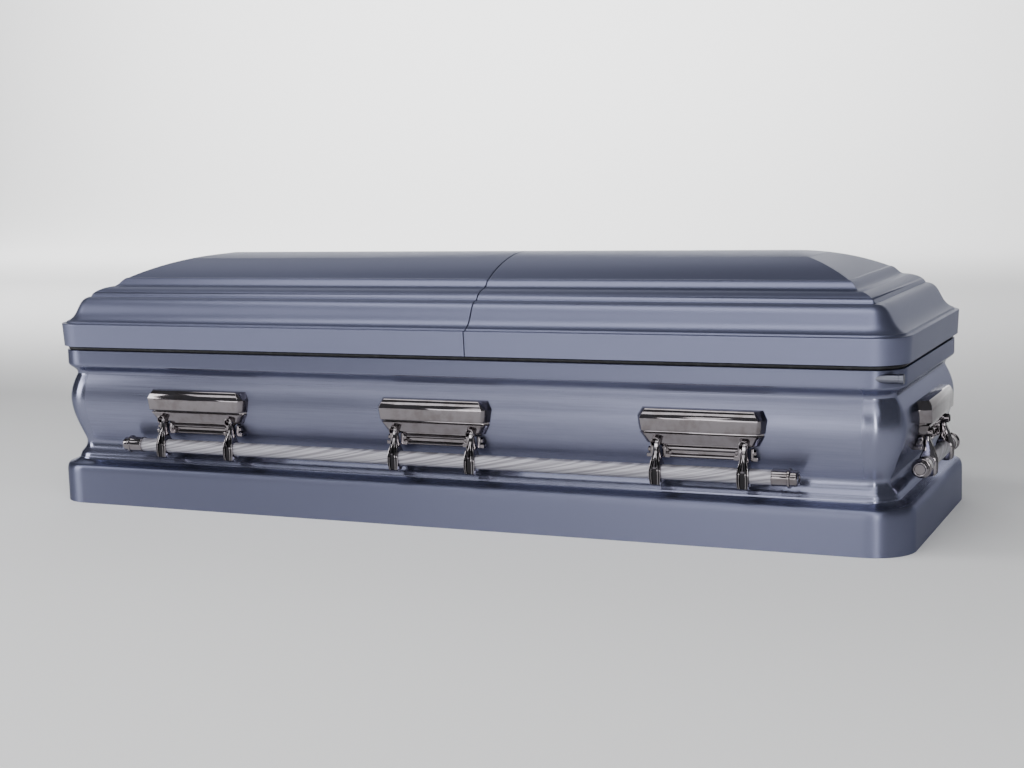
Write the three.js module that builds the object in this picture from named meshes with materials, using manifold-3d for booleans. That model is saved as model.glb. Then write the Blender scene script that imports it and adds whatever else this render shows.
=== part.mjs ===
import * as THREE from 'three';
import { mergeVertices } from 'three/addons/utils/BufferGeometryUtils.js';
import Module from 'manifold-3d';

const wasm = await Module();
wasm.setup();

// A sheet-steel funeral casket with a two-part lid, swing bars on all four sides and cast lugs.
// Millimetres, +Z up, X along the length with the foot end at +X, the front at -Y.
// The origin is the centre of the flat bottom.

// Sheet and fits
const SHEET = 1.2;
const GAP = 0.3;
const PIVOT_PLAY = 0.4;

// Body: overall size, then each stretch of the wall as an inset from the base face and a rise
const BASE_LENGTH = 2134;
const BASE_WIDTH = 711;
const BASE_CORNER_RADIUS = 90;
const BAND_HEIGHT = 74;
const SHOULDER_INSET = 10;
const SHOULDER_RISE = 22.5;
const APRON_INSET = 33;
const APRON_RISE = 11.5;
const BEAD_INSET = 36;
const BEAD_RISE = 8;
const WAIST_INSET = 52.4;
const WAIST_RISE = 31;
const BULGE_INSET = 19.6;
const BULGE_RISE = 108;
const NECK_INSET = 39.5;
const NECK_RISE = 65;
const FLANGE_INSET = 18.5;
const FLANGE_RISE = 27;
const FLANGE_HEIGHT = 33;
const RIM_WIDTH = 26;

// Rubber gasket on the rim
const GASKET_HEIGHT = 9.7;
const GASKET_WIDTH = 14;
const GASKET_SETBACK = 3;

// Lid: inset of its rim from the base face, then each moulding as a width and a rise over the rim
const LID_INSET = 8.5;
const LID_RIM_HEIGHT = 55.7;
const LID_RIM_TAPER = 3;
const LID_EDGE_ROUND = 2;
const LEDGE_WIDTH = 9;
const STEP_WIDTH = 3.5;
const STEP_RISE = 4.5;
const OGEE_WIDTH = 62.5;
const OGEE_RISE = 58;
const SECOND_WIDTH = 43;
const SECOND_RISE = 23.5;
const THIRD_WIDTH = 22;
const THIRD_RISE = 18;
const FILLET_WIDTH = 6;
const FILLET_RISE = 2;
const CROWN_RISE = 48.4;
const SEAM_X = 88;
const SEAM_GAP = 1.8;
const LID_LIP_WIDTH = 25;
const HEADER_DEPTH = 30;

// Hinges along the back
const HINGE_END_MARGIN = 170;
const HINGE_SEAM_MARGIN = 70;
const LEAF_THICKNESS = 1.5;
const LEAF_HEIGHT = 24;
const KNUCKLE_RADIUS = 4;
const HINGE_PIN_RADIUS = 1.6;

// Lugs: cast brackets that carry the swing arms
const LUG_SPACING = 632;
const MIDDLE_LUG_OFFSET = 4;
const LUG_DEPTH = 24.6;
const LUG_HALF_WIDTH = 129;
const LUG_TOP = 36;
const LUG_FACE_TOP = 17;
const LUG_FACE_BOTTOM = -12;
const LUG_STEP_DEPTH = 6;
const LUG_STEP_HEIGHT = 3;
const LUG_BOTTOM = -40;
const LUG_LOWER_SLANT = 11;
const LUG_LOWER_TAPER = 14;
const LUG_STEP_TAPER = 5;
const LUG_BEVEL_HEIGHT = 11;
const LUG_BEVEL_SLANT = 3;
const LUG_TOP_SLANT = 8;
const LUG_BEVEL_TAPER = 6;
const LUG_TOP_TAPER = 11;
const FLARE_MIDDLE_SHARE = 0.6;
const LUG_END_FLARE = 14;
const FOOT_HALF_WIDTH = 114;
const FOOT_HEIGHT = 30;
const FOOT_PROUD = 10;

// Swing arms and their pivots
const ARM_SPREAD = 96;
const PIVOT_DROP = 36;
const PIVOT_PROUD = 9.1;
const EYE_RADIUS = 8;
const EYE_WIDTH = 14;
const CHEEK_THICKNESS = 3.5;
const CHEEK_RADIUS = 9.5;
const SLOT_RADIUS = 11.5;
const PIVOT_PIN_RADIUS = 3;
const ARM_WIDTH = 26;
const ARM_DROP = 64.5;
const ARM_TIP = 28.5;
const ARM_WALL = 3.6;
const BAR_LEAD = 1.5;

// Bars and their end caps
const BAR_RADIUS = 15.875;
const BAR_WALL = 1.6;
const SIDE_BAR_OVERHANG = 115;
const END_BAR_OVERHANG = 92;
const CAP_LENGTH = 55;
const CAP_BARREL_LENGTH = 34;
const CAP_COLLAR_LENGTH = 5;
const CAP_WALL = 1.7;
const CAP_COLLAR_PROUD = 3.2;
const CAP_EDGE = 3.5;

// Memorial tube in the front foot corner of the flange
const TUBE_RADIUS = 10;
const TUBE_WALL = 1.5;
const TUBE_DEPTH = 2.5;
const TUBE_TIP_MARGIN = 24;
const TUBE_LENGTH = 103;
const TUBE_CAP_LENGTH = 8;
const TUBE_CAP_PROUD = 0.8;
const TUBE_CAP_GAP = 2;
const TUBE_PLUG_LENGTH = 6;

// Facets
const CORNER_STEPS = 4;
const BELLY_STEPS = 4;
const COVE_STEPS = 3;
const EDGE_STEPS = 2;
const OGEE_STEPS = 4;
const CROWN_STEPS = 4;
const ROUND_SIDES = 10;
const PIN_SIDES = 6;

// Heights and sizes that follow from them
const SHOULDER_Z = BAND_HEIGHT + SHOULDER_RISE;
const APRON_Z = SHOULDER_Z + APRON_RISE;
const BEAD_Z = APRON_Z + BEAD_RISE;
const WAIST_Z = BEAD_Z + WAIST_RISE;
const BULGE_Z = WAIST_Z + BULGE_RISE;
const NECK_Z = BULGE_Z + NECK_RISE;
const FLANGE_Z = NECK_Z + FLANGE_RISE;
const BODY_TOP = FLANGE_Z + FLANGE_HEIGHT;
const LID_BOTTOM = BODY_TOP + GAP + GASKET_HEIGHT + GAP;
const LID_RIM_TOP = LID_BOTTOM + LID_RIM_HEIGHT;
const HALF_LENGTH = BASE_LENGTH / 2;
const HALF_WIDTH = BASE_WIDTH / 2;
const LID_HALF_LENGTH = HALF_LENGTH - LID_INSET;
const LID_HALF_WIDTH = HALF_WIDTH - LID_INSET;
const LID_CORNER_RADIUS = BASE_CORNER_RADIUS - LID_INSET;
const PIVOT_Z = BULGE_Z - PIVOT_DROP;
const PIVOT_OUT = PIVOT_PROUD - BULGE_INSET;
const BAR_Z = PIVOT_Z - ARM_DROP;
const BAR_OUT = PIVOT_OUT + BAR_LEAD;
const LUG_FRONT_OUT = LUG_DEPTH - BULGE_INSET;

// Finishes
const bodySteel = new THREE.MeshStandardMaterial({ color: 0x8f94a8, roughness: 0.38, metalness: 0.85 });
const lidSteel = new THREE.MeshStandardMaterial({ color: 0x868ca2, roughness: 0.42, metalness: 0.8 });
const chrome = new THREE.MeshStandardMaterial({ color: 0xd9dade, roughness: 0.08, metalness: 1 });
const barSteel = new THREE.MeshStandardMaterial({ color: 0xc9cbd4, roughness: 0.3, metalness: 1 });
const rubber = new THREE.MeshStandardMaterial({ color: 0x0c0d10, roughness: 0.7, metalness: 0 });
const hingeSteel = new THREE.MeshStandardMaterial({ color: 0x9a9ca4, roughness: 0.35, metalness: 1 });

// Solids: a closed geometry becomes a manifold for joining and cutting, and back again

function toManifold(geometry) {
  const bare = new THREE.BufferGeometry();
  bare.setAttribute('position', geometry.getAttribute('position'));
  bare.setIndex(geometry.getIndex());
  const merged = mergeVertices(bare, 1e-4);
  const index = merged.getIndex().array;
  const triangles = [];
  for (let i = 0; i < index.length; i += 3) {
    const [a, b, c] = index.slice(i, i + 3);
    if (a !== b && b !== c && c !== a) {
      triangles.push(a, b, c);
    }
  }
  const mesh = new wasm.Mesh({
    numProp: 3,
    vertProperties: new Float32Array(merged.getAttribute('position').array),
    triVerts: new Uint32Array(triangles),
  });
  return new wasm.Manifold(mesh);
}

function toGeometry(manifold) {
  const mesh = manifold.getMesh();
  const geometry = new THREE.BufferGeometry();
  geometry.setAttribute('position', new THREE.BufferAttribute(new Float32Array(mesh.vertProperties), 3));
  geometry.setIndex(new THREE.BufferAttribute(new Uint32Array(mesh.triVerts), 1));
  return geometry;
}

// Closed solid through rings of equal counts, the first at the bottom, each anticlockwise from above
function loft(rings) {
  const count = rings[0].length;
  const positions = rings.flat().flatMap((point) => [point.x, point.y, point.z]);
  const index = [];
  for (let level = 0; level + 1 < rings.length; level += 1) {
    for (let i = 0; i < count; i += 1) {
      const a = level * count + i;
      const b = level * count + ((i + 1) % count);
      index.push(a, b, b + count, a, b + count, a + count);
    }
  }
  const flat = (ring) => ring.map((point) => new THREE.Vector2(point.x, point.y));
  for (const [a, b, c] of THREE.ShapeUtils.triangulateShape(flat(rings[0]), [])) {
    index.push(a, c, b);
  }
  const top = (rings.length - 1) * count;
  for (const [a, b, c] of THREE.ShapeUtils.triangulateShape(flat(rings.at(-1)), [])) {
    index.push(top + a, top + b, top + c);
  }
  const geometry = new THREE.BufferGeometry();
  geometry.setAttribute('position', new THREE.Float32BufferAttribute(positions, 3));
  geometry.setIndex(index);
  return toManifold(geometry);
}

// Outline of points [across, up] pushed out along X, centred on X, with Y across and Z up
function extrudeAlongX(points, width) {
  const shape = new THREE.Shape(points.map(([y, z]) => new THREE.Vector2(y, z)));
  const geometry = new THREE.ExtrudeGeometry(shape, { depth: width, bevelEnabled: false });
  geometry.translate(0, 0, -width / 2);
  geometry.applyMatrix4(new THREE.Matrix4().set(0, 0, 1, 0, 1, 0, 0, 0, 0, 1, 0, 0, 0, 0, 0, 1));
  return toManifold(geometry);
}

// Lathed solid about X from a profile of points [radius, x]
function latheAlongX(profile, sides) {
  const points = profile.map(([radius, x]) => new THREE.Vector2(radius, x));
  const geometry = new THREE.LatheGeometry(points, sides);
  geometry.rotateZ(-Math.PI / 2);
  return toManifold(geometry);
}

function rodAlongX(radius, length, sides) {
  return latheAlongX([[0, -length / 2], [radius, -length / 2], [radius, length / 2], [0, length / 2]], sides);
}

function curvePoints(from, first, second, to, steps) {
  const corners = [from, first, second, to].map(([x, y]) => new THREE.Vector2(x, y));
  const curve = new THREE.CubicBezierCurve(...corners);
  return curve.getPoints(steps).slice(1).map((point) => [point.x, point.y]);
}

// Profile of points [inset, z] moved inwards by a wall, keeping its corners mitred
function offsetProfile(points, wall) {
  return points.map((point, i) => {
    const normals = [];
    for (const j of [i, i + 1]) {
      if (j > 0 && j < points.length) {
        const run = points[j][0] - points[j - 1][0];
        const rise = points[j][1] - points[j - 1][1];
        const length = Math.hypot(run, rise);
        normals.push([rise / length, -run / length]);
      }
    }
    const [first, last] = [normals[0], normals.at(-1)];
    const scale = wall / (1 + first[0] * last[0] + first[1] * last[1]);
    return [point[0] + (first[0] + last[0]) * scale, point[1] + (first[1] + last[1]) * scale];
  });
}

// Corner of a rounded rectangle: a fan of points, or one repeated point where the inset ate the radius
function cornerPoints(x, y, radius, startAngle, z) {
  return Array.from({ length: CORNER_STEPS + 1 }, (unused, i) => {
    const angle = startAngle + (Math.PI / 2) * (i / CORNER_STEPS);
    return new THREE.Vector3(x + radius * Math.cos(angle), y + radius * Math.sin(angle), z);
  });
}

// Ring of a rounded rectangle with half sizes, drawn in by an inset
function roundedRing(halfLength, halfWidth, cornerRadius, inset, z) {
  const radius = Math.max(cornerRadius - inset, 0);
  const x = halfLength - inset - radius;
  const y = halfWidth - inset - radius;
  return [
    ...cornerPoints(x, -y, radius, -Math.PI / 2, z),
    ...cornerPoints(x, y, radius, 0, z),
    ...cornerPoints(-x, y, radius, Math.PI / 2, z),
    ...cornerPoints(-x, -y, radius, Math.PI, z),
  ];
}

// Body: one welded steel shell, open at the top under the lid

const bodyProfile = [
  [0, 0],
  [0, BAND_HEIGHT],
  ...curvePoints(
    [0, BAND_HEIGHT],
    [0, BAND_HEIGHT + SHOULDER_RISE * 0.5],
    [SHOULDER_INSET * 0.2, SHOULDER_Z - SHOULDER_RISE * 0.1],
    [SHOULDER_INSET, SHOULDER_Z],
    EDGE_STEPS,
  ),
  [APRON_INSET, APRON_Z],
  [BEAD_INSET, BEAD_Z],
  ...curvePoints(
    [BEAD_INSET, BEAD_Z],
    [BEAD_INSET + (WAIST_INSET - BEAD_INSET) * 0.2, BEAD_Z + WAIST_RISE * 0.3],
    [WAIST_INSET, WAIST_Z - WAIST_RISE * 0.6],
    [WAIST_INSET, WAIST_Z],
    EDGE_STEPS,
  ),
  ...curvePoints(
    [WAIST_INSET, WAIST_Z],
    [WAIST_INSET, WAIST_Z + BULGE_RISE * 0.09],
    [BULGE_INSET, BULGE_Z - BULGE_RISE * 0.41],
    [BULGE_INSET, BULGE_Z],
    BELLY_STEPS,
  ),
  ...curvePoints(
    [BULGE_INSET, BULGE_Z],
    [BULGE_INSET, BULGE_Z + NECK_RISE * 0.55],
    [NECK_INSET, NECK_Z - NECK_RISE * 0.07],
    [NECK_INSET, NECK_Z],
    COVE_STEPS,
  ),
  ...curvePoints(
    [NECK_INSET, NECK_Z],
    [NECK_INSET, NECK_Z + FLANGE_RISE * 0.5],
    [FLANGE_INSET, NECK_Z + FLANGE_RISE * 0.6],
    [FLANGE_INSET, FLANGE_Z],
    EDGE_STEPS,
  ),
  [FLANGE_INSET, BODY_TOP],
];

function bodyLoft(profile) {
  return loft(profile.map(([inset, z]) => roundedRing(HALF_LENGTH, HALF_WIDTH, BASE_CORNER_RADIUS, inset, z)));
}

function bodyPrism(inset, bottom, top) {
  return bodyLoft([[inset, bottom], [inset, top]]);
}

function tubeAxis() {
  return {
    x: HALF_LENGTH - TUBE_TIP_MARGIN,
    y: -(HALF_WIDTH - FLANGE_INSET - TUBE_DEPTH - TUBE_RADIUS),
    z: FLANGE_Z + FLANGE_HEIGHT / 2,
  };
}

function shellGeometry() {
  const inner = offsetProfile(bodyProfile, SHEET);
  inner[0] = [inner[0][0], SHEET];
  inner.at(-1)[1] = BODY_TOP - SHEET;
  const cavity = bodyLoft(inner);
  const mouth = bodyPrism(FLANGE_INSET + RIM_WIDTH, BODY_TOP - 2 * SHEET, BODY_TOP + SHEET);
  const axis = tubeAxis();
  const bore = rodAlongX(TUBE_RADIUS + GAP, 2 * TUBE_LENGTH, ROUND_SIDES).translate(axis.x, axis.y, axis.z);
  return toGeometry(bodyLoft(bodyProfile).subtract(cavity).subtract(mouth).subtract(bore));
}

function gasketGeometry() {
  const bottom = BODY_TOP + GAP;
  const top = bottom + GASKET_HEIGHT;
  const outerInset = FLANGE_INSET + GASKET_SETBACK;
  const hole = bodyPrism(outerInset + GASKET_WIDTH, bottom - GAP, top + GAP);
  return toGeometry(bodyPrism(outerInset, bottom, top).subtract(hole));
}

// Lid: a rim, three stacked mouldings and a low crown, as points [inset, rise over the rim]

const crownInset = LEDGE_WIDTH + STEP_WIDTH + OGEE_WIDTH + SECOND_WIDTH + THIRD_WIDTH + FILLET_WIDTH;
const crownFoot = STEP_RISE + OGEE_RISE + SECOND_RISE + THIRD_RISE + FILLET_RISE;

function moulding(from, width, rise, first, second, steps) {
  const place = ([across, up]) => [from[0] + width * across, from[1] + rise * up];
  return curvePoints(from, place(first), place(second), place([1, 1]), steps);
}

function crownPoints(steps) {
  const halfSpan = LID_HALF_WIDTH - crownInset;
  const radius = (halfSpan ** 2 + CROWN_RISE ** 2) / (2 * CROWN_RISE);
  const reach = Math.asin(halfSpan / radius);
  return Array.from({ length: steps }, (unused, i) => {
    const angle = reach * (1 - (i + 1) / steps);
    const drop = radius * (1 - Math.cos(angle));
    return [LID_HALF_WIDTH - radius * Math.sin(angle), crownFoot + CROWN_RISE - drop];
  });
}

function lidProfile() {
  const points = [
    [LID_RIM_TAPER, -LID_RIM_HEIGHT],
    [0, -LID_EDGE_ROUND],
    [LID_EDGE_ROUND, 0],
    [LEDGE_WIDTH, 0],
    [LEDGE_WIDTH + STEP_WIDTH, STEP_RISE],
  ];
  points.push(...moulding(points.at(-1), OGEE_WIDTH, OGEE_RISE, [0.55, 0.19], [0.4, 0.97], OGEE_STEPS));
  points.push(...moulding(points.at(-1), SECOND_WIDTH, SECOND_RISE, [0.12, 0.49], [0.49, 0.89], COVE_STEPS));
  points.push(...moulding(points.at(-1), THIRD_WIDTH, THIRD_RISE, [0.43, 0.11], [0.61, 0.78], EDGE_STEPS));
  points.push([crownInset, crownFoot]);
  points.push(...crownPoints(CROWN_STEPS));
  return points.map(([inset, rise]) => [inset, LID_RIM_TOP + rise]);
}

// Half ring of the lid from a cut across X: the +X half, or the -X half with side = -1
function halfRing(side, cutX, inset, z) {
  const radius = Math.max(LID_CORNER_RADIUS - inset, 0);
  const x = LID_HALF_LENGTH - inset - radius;
  const y = LID_HALF_WIDTH - inset - radius;
  const edge = LID_HALF_WIDTH - inset;
  if (side > 0) {
    return [
      new THREE.Vector3(cutX, -edge, z),
      ...cornerPoints(x, -y, radius, -Math.PI / 2, z),
      ...cornerPoints(x, y, radius, 0, z),
      new THREE.Vector3(cutX, edge, z),
    ];
  }
  return [
    new THREE.Vector3(cutX, edge, z),
    ...cornerPoints(-x, y, radius, Math.PI / 2, z),
    ...cornerPoints(-x, -y, radius, Math.PI, z),
    new THREE.Vector3(cutX, -edge, z),
  ];
}

function lidLoft(side, cutX, profile) {
  return loft(profile.map(([inset, z]) => halfRing(side, cutX, inset, z)));
}

// Opening through the header at the seam: the lid's own section, drawn in by the header's depth
function headerOpening(profile, cutX) {
  const height = profile.at(-1)[1] - LID_BOTTOM;
  const shrinkUp = (height - HEADER_DEPTH) / height;
  const shrinkAcross = (LID_HALF_WIDTH - HEADER_DEPTH) / LID_HALF_WIDTH;
  const right = profile.map(([inset, z]) => [
    (LID_HALF_WIDTH - inset) * shrinkAcross,
    LID_BOTTOM + (z - LID_BOTTOM) * shrinkUp,
  ]);
  const left = right.slice(0, -1).reverse().map(([y, z]) => [-y, z]);
  const outline = [...right, ...left];
  return extrudeAlongX(outline, 4 * SHEET).translate(cutX, 0, 0);
}

function lidGeometry(side) {
  const cutX = SEAM_X + side * SEAM_GAP / 2;
  const outer = lidProfile();
  const inner = offsetProfile(outer, SHEET);
  inner[0] = [inner[0][0], LID_BOTTOM + SHEET];
  inner.at(-1)[0] = LID_HALF_WIDTH;
  const cavity = lidLoft(side, cutX + side * SHEET, inner);
  const lip = LID_RIM_TAPER + LID_LIP_WIDTH;
  const mouth = lidLoft(side, cutX + side * SHEET, [[lip, LID_BOTTOM - SHEET], [lip, LID_BOTTOM + 2 * SHEET]]);
  const solid = lidLoft(side, cutX, outer).subtract(cavity).subtract(mouth);
  return toGeometry(solid.subtract(headerOpening(outer, cutX)));
}

// Hinges: a leaf on the flange, a leaf on the lid rim and a pin, for each half of the lid

const hingeAxisY = LID_HALF_WIDTH + GAP + LEAF_THICKNESS + GAP + KNUCKLE_RADIUS - LEAF_THICKNESS;
const hingeAxisZ = BODY_TOP + (LID_BOTTOM - BODY_TOP) / 2;

function hingeSpan(side) {
  const outerEnd = side * (LID_HALF_LENGTH - HINGE_END_MARGIN);
  const seamEnd = SEAM_X + side * HINGE_SEAM_MARGIN;
  return { middle: (outerEnd + seamEnd) / 2, length: Math.abs(outerEnd - seamEnd) };
}

function knuckle(length, x) {
  const bore = rodAlongX(HINGE_PIN_RADIUS + PIVOT_PLAY, length + 2, PIN_SIDES);
  return rodAlongX(KNUCKLE_RADIUS, length, PIN_SIDES).subtract(bore).translate(x, hingeAxisY, hingeAxisZ);
}

function clearKnuckle(length, x) {
  const clear = KNUCKLE_RADIUS / Math.cos(Math.PI / PIN_SIDES) + PIVOT_PLAY;
  return rodAlongX(clear, length, PIN_SIDES).translate(x, hingeAxisY, hingeAxisZ);
}

function pinClearance(length) {
  const bore = rodAlongX(HINGE_PIN_RADIUS + PIVOT_PLAY, length + 2, PIN_SIDES);
  return bore.translate(0, hingeAxisY, hingeAxisZ);
}

// Body leaf: a strip down the flange and a web out to its two knuckles
function bodyLeafGeometry(length) {
  const near = HALF_WIDTH - FLANGE_INSET + GAP;
  const webTop = hingeAxisZ - KNUCKLE_RADIUS + LEAF_THICKNESS;
  const webBottom = webTop - LEAF_THICKNESS;
  const outline = [
    [near, webTop - LEAF_HEIGHT],
    [near + LEAF_THICKNESS, webTop - LEAF_HEIGHT],
    [near + LEAF_THICKNESS, webBottom],
    [hingeAxisY, webBottom],
    [hingeAxisY, webTop],
    [near, webTop],
  ];
  const third = length / 3;
  const solid = extrudeAlongX(outline, length)
    .subtract(clearKnuckle(third + 2 * PIVOT_PLAY, 0))
    .add(knuckle(third, -third))
    .add(knuckle(third, third));
  return toGeometry(solid.subtract(pinClearance(length)));
}

// Lid leaf: a strip up the lid rim from the middle knuckle
function lidLeafGeometry(length) {
  const near = LID_HALF_WIDTH + GAP;
  const outline = [
    [near, hingeAxisZ],
    [near + LEAF_THICKNESS, hingeAxisZ],
    [near + LEAF_THICKNESS, hingeAxisZ + LEAF_HEIGHT],
    [near, hingeAxisZ + LEAF_HEIGHT],
  ];
  const third = length / 3;
  const solid = extrudeAlongX(outline, length)
    .subtract(clearKnuckle(third, -third))
    .subtract(clearKnuckle(third, third))
    .add(knuckle(third - 2 * PIVOT_PLAY, 0));
  return toGeometry(solid.subtract(pinClearance(length)));
}

function hingePinGeometry(length) {
  return toGeometry(rodAlongX(HINGE_PIN_RADIUS, length, PIN_SIDES).translate(0, hingeAxisY, hingeAxisZ));
}

// Hardware is drawn on a straight side: X along it, -Y outwards from the base face, Z up

// Lug rows from the bottom up: [outward, z, half width of the front edge]
function lugRows() {
  const front = LUG_FRONT_OUT;
  const step = front - LUG_STEP_DEPTH;
  return [
    [step - LUG_LOWER_SLANT, BULGE_Z + LUG_BOTTOM, LUG_HALF_WIDTH - LUG_STEP_TAPER - LUG_LOWER_TAPER],
    [step, BULGE_Z + LUG_FACE_BOTTOM - LUG_STEP_HEIGHT, LUG_HALF_WIDTH - LUG_STEP_TAPER],
    [front, BULGE_Z + LUG_FACE_BOTTOM, LUG_HALF_WIDTH - LUG_STEP_TAPER],
    [front, BULGE_Z + LUG_FACE_TOP, LUG_HALF_WIDTH],
    [front - LUG_BEVEL_SLANT, BULGE_Z + LUG_TOP - LUG_BEVEL_HEIGHT, LUG_HALF_WIDTH - LUG_BEVEL_TAPER],
    [front - LUG_TOP_SLANT, BULGE_Z + LUG_TOP, LUG_HALF_WIDTH - LUG_TOP_TAPER],
  ];
}

function lugBody() {
  const behind = -BULGE_INSET - 20;
  const rings = lugRows().map(([out, z, half]) => {
    const middle = (out - BULGE_INSET) / 2;
    return [
      new THREE.Vector3(-half, -out, z),
      new THREE.Vector3(half, -out, z),
      new THREE.Vector3(half + LUG_END_FLARE * FLARE_MIDDLE_SHARE, -middle, z),
      new THREE.Vector3(half + LUG_END_FLARE, -behind, z),
      new THREE.Vector3(-half - LUG_END_FLARE, -behind, z),
      new THREE.Vector3(-half - LUG_END_FLARE * FLARE_MIDDLE_SHARE, -middle, z),
    ];
  });
  return loft(rings);
}

// Foot under the lug: a plate against the wall with two rails, as points [outward, z]
function lugFoot() {
  const top = BULGE_Z + LUG_BOTTOM + 2;
  const bottom = top - FOOT_HEIGHT;
  const front = FOOT_PROUD - (BULGE_INSET + 10);
  const behind = -WAIST_INSET;
  const outline = [
    [behind, bottom],
    [front - 3, bottom],
    [front, bottom + FOOT_HEIGHT * 0.15],
    [front - 4, bottom + FOOT_HEIGHT * 0.4],
    [front, bottom + FOOT_HEIGHT * 0.65],
    [front - 3, top],
    [behind, top],
  ];
  return extrudeAlongX(outline.map(([out, z]) => [-out, z]), 2 * FOOT_HALF_WIDTH);
}

// Room for an arm's eye: round over the pivot and open downwards
function eyeSlot(width) {
  const bottom = BULGE_Z + LUG_BOTTOM - CHEEK_THICKNESS;
  const arc = Array.from({ length: 4 }, (unused, i) => {
    const angle = (Math.PI * i) / 3;
    return [PIVOT_OUT + SLOT_RADIUS * Math.cos(angle), PIVOT_Z + SLOT_RADIUS * Math.sin(angle)];
  });
  const outline = [...arc, [PIVOT_OUT - SLOT_RADIUS, bottom], [PIVOT_OUT + SLOT_RADIUS, bottom]];
  return extrudeAlongX(outline.map(([out, z]) => [-out, z]), width);
}

function pivotRound(radius, sides, width) {
  return rodAlongX(radius, width, sides).translate(0, -PIVOT_OUT, PIVOT_Z);
}

function cheek() {
  const back = -WAIST_INSET;
  const arc = Array.from({ length: 4 }, (unused, i) => {
    const angle = Math.PI / 2 - (Math.PI * i) / 3;
    return [PIVOT_OUT + CHEEK_RADIUS * Math.cos(angle), PIVOT_Z + CHEEK_RADIUS * Math.sin(angle)];
  });
  const outline = [...arc, [back, PIVOT_Z - CHEEK_RADIUS], [back, PIVOT_Z + CHEEK_RADIUS]];
  return extrudeAlongX(outline.map(([out, z]) => [-out, z]), CHEEK_THICKNESS);
}

// Block that the wall takes up, grown by the gap, for cutting the backs of the lugs
function wallCutter() {
  const grown = offsetProfile(bodyProfile, -GAP);
  const deep = -WAIST_INSET - LUG_DEPTH;
  const outline = grown.map(([inset, z]) => [inset, z]);
  outline.push([-deep, BODY_TOP], [-deep, 0]);
  return extrudeAlongX(outline, 4 * LUG_HALF_WIDTH);
}

function lugGeometry() {
  const slotWidth = EYE_WIDTH + 2 * PIVOT_PLAY;
  const cheekX = (slotWidth + CHEEK_THICKNESS) / 2;
  let solid = lugBody().add(lugFoot());
  for (const armX of [-ARM_SPREAD, ARM_SPREAD]) {
    const pin = pivotRound(PIVOT_PIN_RADIUS, PIN_SIDES, slotWidth + CHEEK_THICKNESS).translate(armX, 0, 0);
    solid = solid
      .add(cheek().translate(armX - cheekX, 0, 0))
      .add(cheek().translate(armX + cheekX, 0, 0))
      .subtract(eyeSlot(slotWidth).translate(armX, 0, 0))
      .add(pin);
  }
  return toGeometry(solid.subtract(wallCutter()));
}

// Swing arm: its side view and its front view cut from each other, with an eye and a bore for the bar
function armSide() {
  const ring = BAR_RADIUS + GAP + ARM_WALL;
  const round = (degrees) => {
    const angle = THREE.MathUtils.degToRad(degrees);
    return [BAR_OUT + ring * Math.cos(angle), BAR_Z + ring * Math.sin(angle)];
  };
  const eye = (degrees) => {
    const angle = THREE.MathUtils.degToRad(degrees);
    return [PIVOT_OUT + EYE_RADIUS * Math.cos(angle), PIVOT_Z + EYE_RADIUS * Math.sin(angle)];
  };
  const tipZ = BAR_Z - ARM_TIP;
  return [
    eye(0),
    eye(60),
    eye(120),
    eye(180),
    [PIVOT_OUT - EYE_RADIUS * 0.8, PIVOT_Z - ARM_DROP * 0.5],
    round(165),
    round(215),
    [BAR_OUT - 3, tipZ],
    [BAR_OUT + 5, tipZ],
    round(-30),
    round(25),
    [PIVOT_OUT + EYE_RADIUS * 1.4, PIVOT_Z - ARM_DROP * 0.45],
  ];
}

function armFront() {
  const half = ARM_WIDTH / 2;
  const neck = EYE_WIDTH / 2;
  const neckZ = PIVOT_Z - EYE_RADIUS - 4;
  const tipZ = BAR_Z - ARM_TIP;
  return [
    [neck, PIVOT_Z + EYE_RADIUS + 1],
    [neck, neckZ],
    [half, BAR_Z],
    [half - 4, tipZ - 1],
    [-half + 4, tipZ - 1],
    [-half, BAR_Z],
    [-neck, neckZ],
    [-neck, PIVOT_Z + EYE_RADIUS + 1],
  ];
}

function armGeometry() {
  const side = extrudeAlongX(armSide().map(([out, z]) => [-out, z]).reverse(), 2 * ARM_WIDTH);
  const depth = 8 * BAR_RADIUS;
  const shape = new THREE.Shape(armFront().map(([x, z]) => new THREE.Vector2(x, z)).reverse());
  const sheet = new THREE.ExtrudeGeometry(shape, { depth, bevelEnabled: false });
  sheet.translate(0, 0, -depth / 2);
  sheet.rotateX(Math.PI / 2);
  const barBore = rodAlongX(BAR_RADIUS + GAP, 2 * ARM_WIDTH, ROUND_SIDES).translate(0, -BAR_OUT, BAR_Z);
  const pinBore = pivotRound(PIVOT_PIN_RADIUS / Math.cos(Math.PI / PIN_SIDES) + GAP, PIN_SIDES, 2 * ARM_WIDTH);
  return toGeometry(side.intersect(toManifold(sheet)).subtract(barBore).subtract(pinBore));
}

function barGeometry(halfLength) {
  const half = halfLength - CAP_LENGTH + CAP_BARREL_LENGTH;
  const bore = rodAlongX(BAR_RADIUS - BAR_WALL, 2 * half + 2, ROUND_SIDES);
  return toGeometry(rodAlongX(BAR_RADIUS, 2 * half, ROUND_SIDES).subtract(bore));
}

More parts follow.
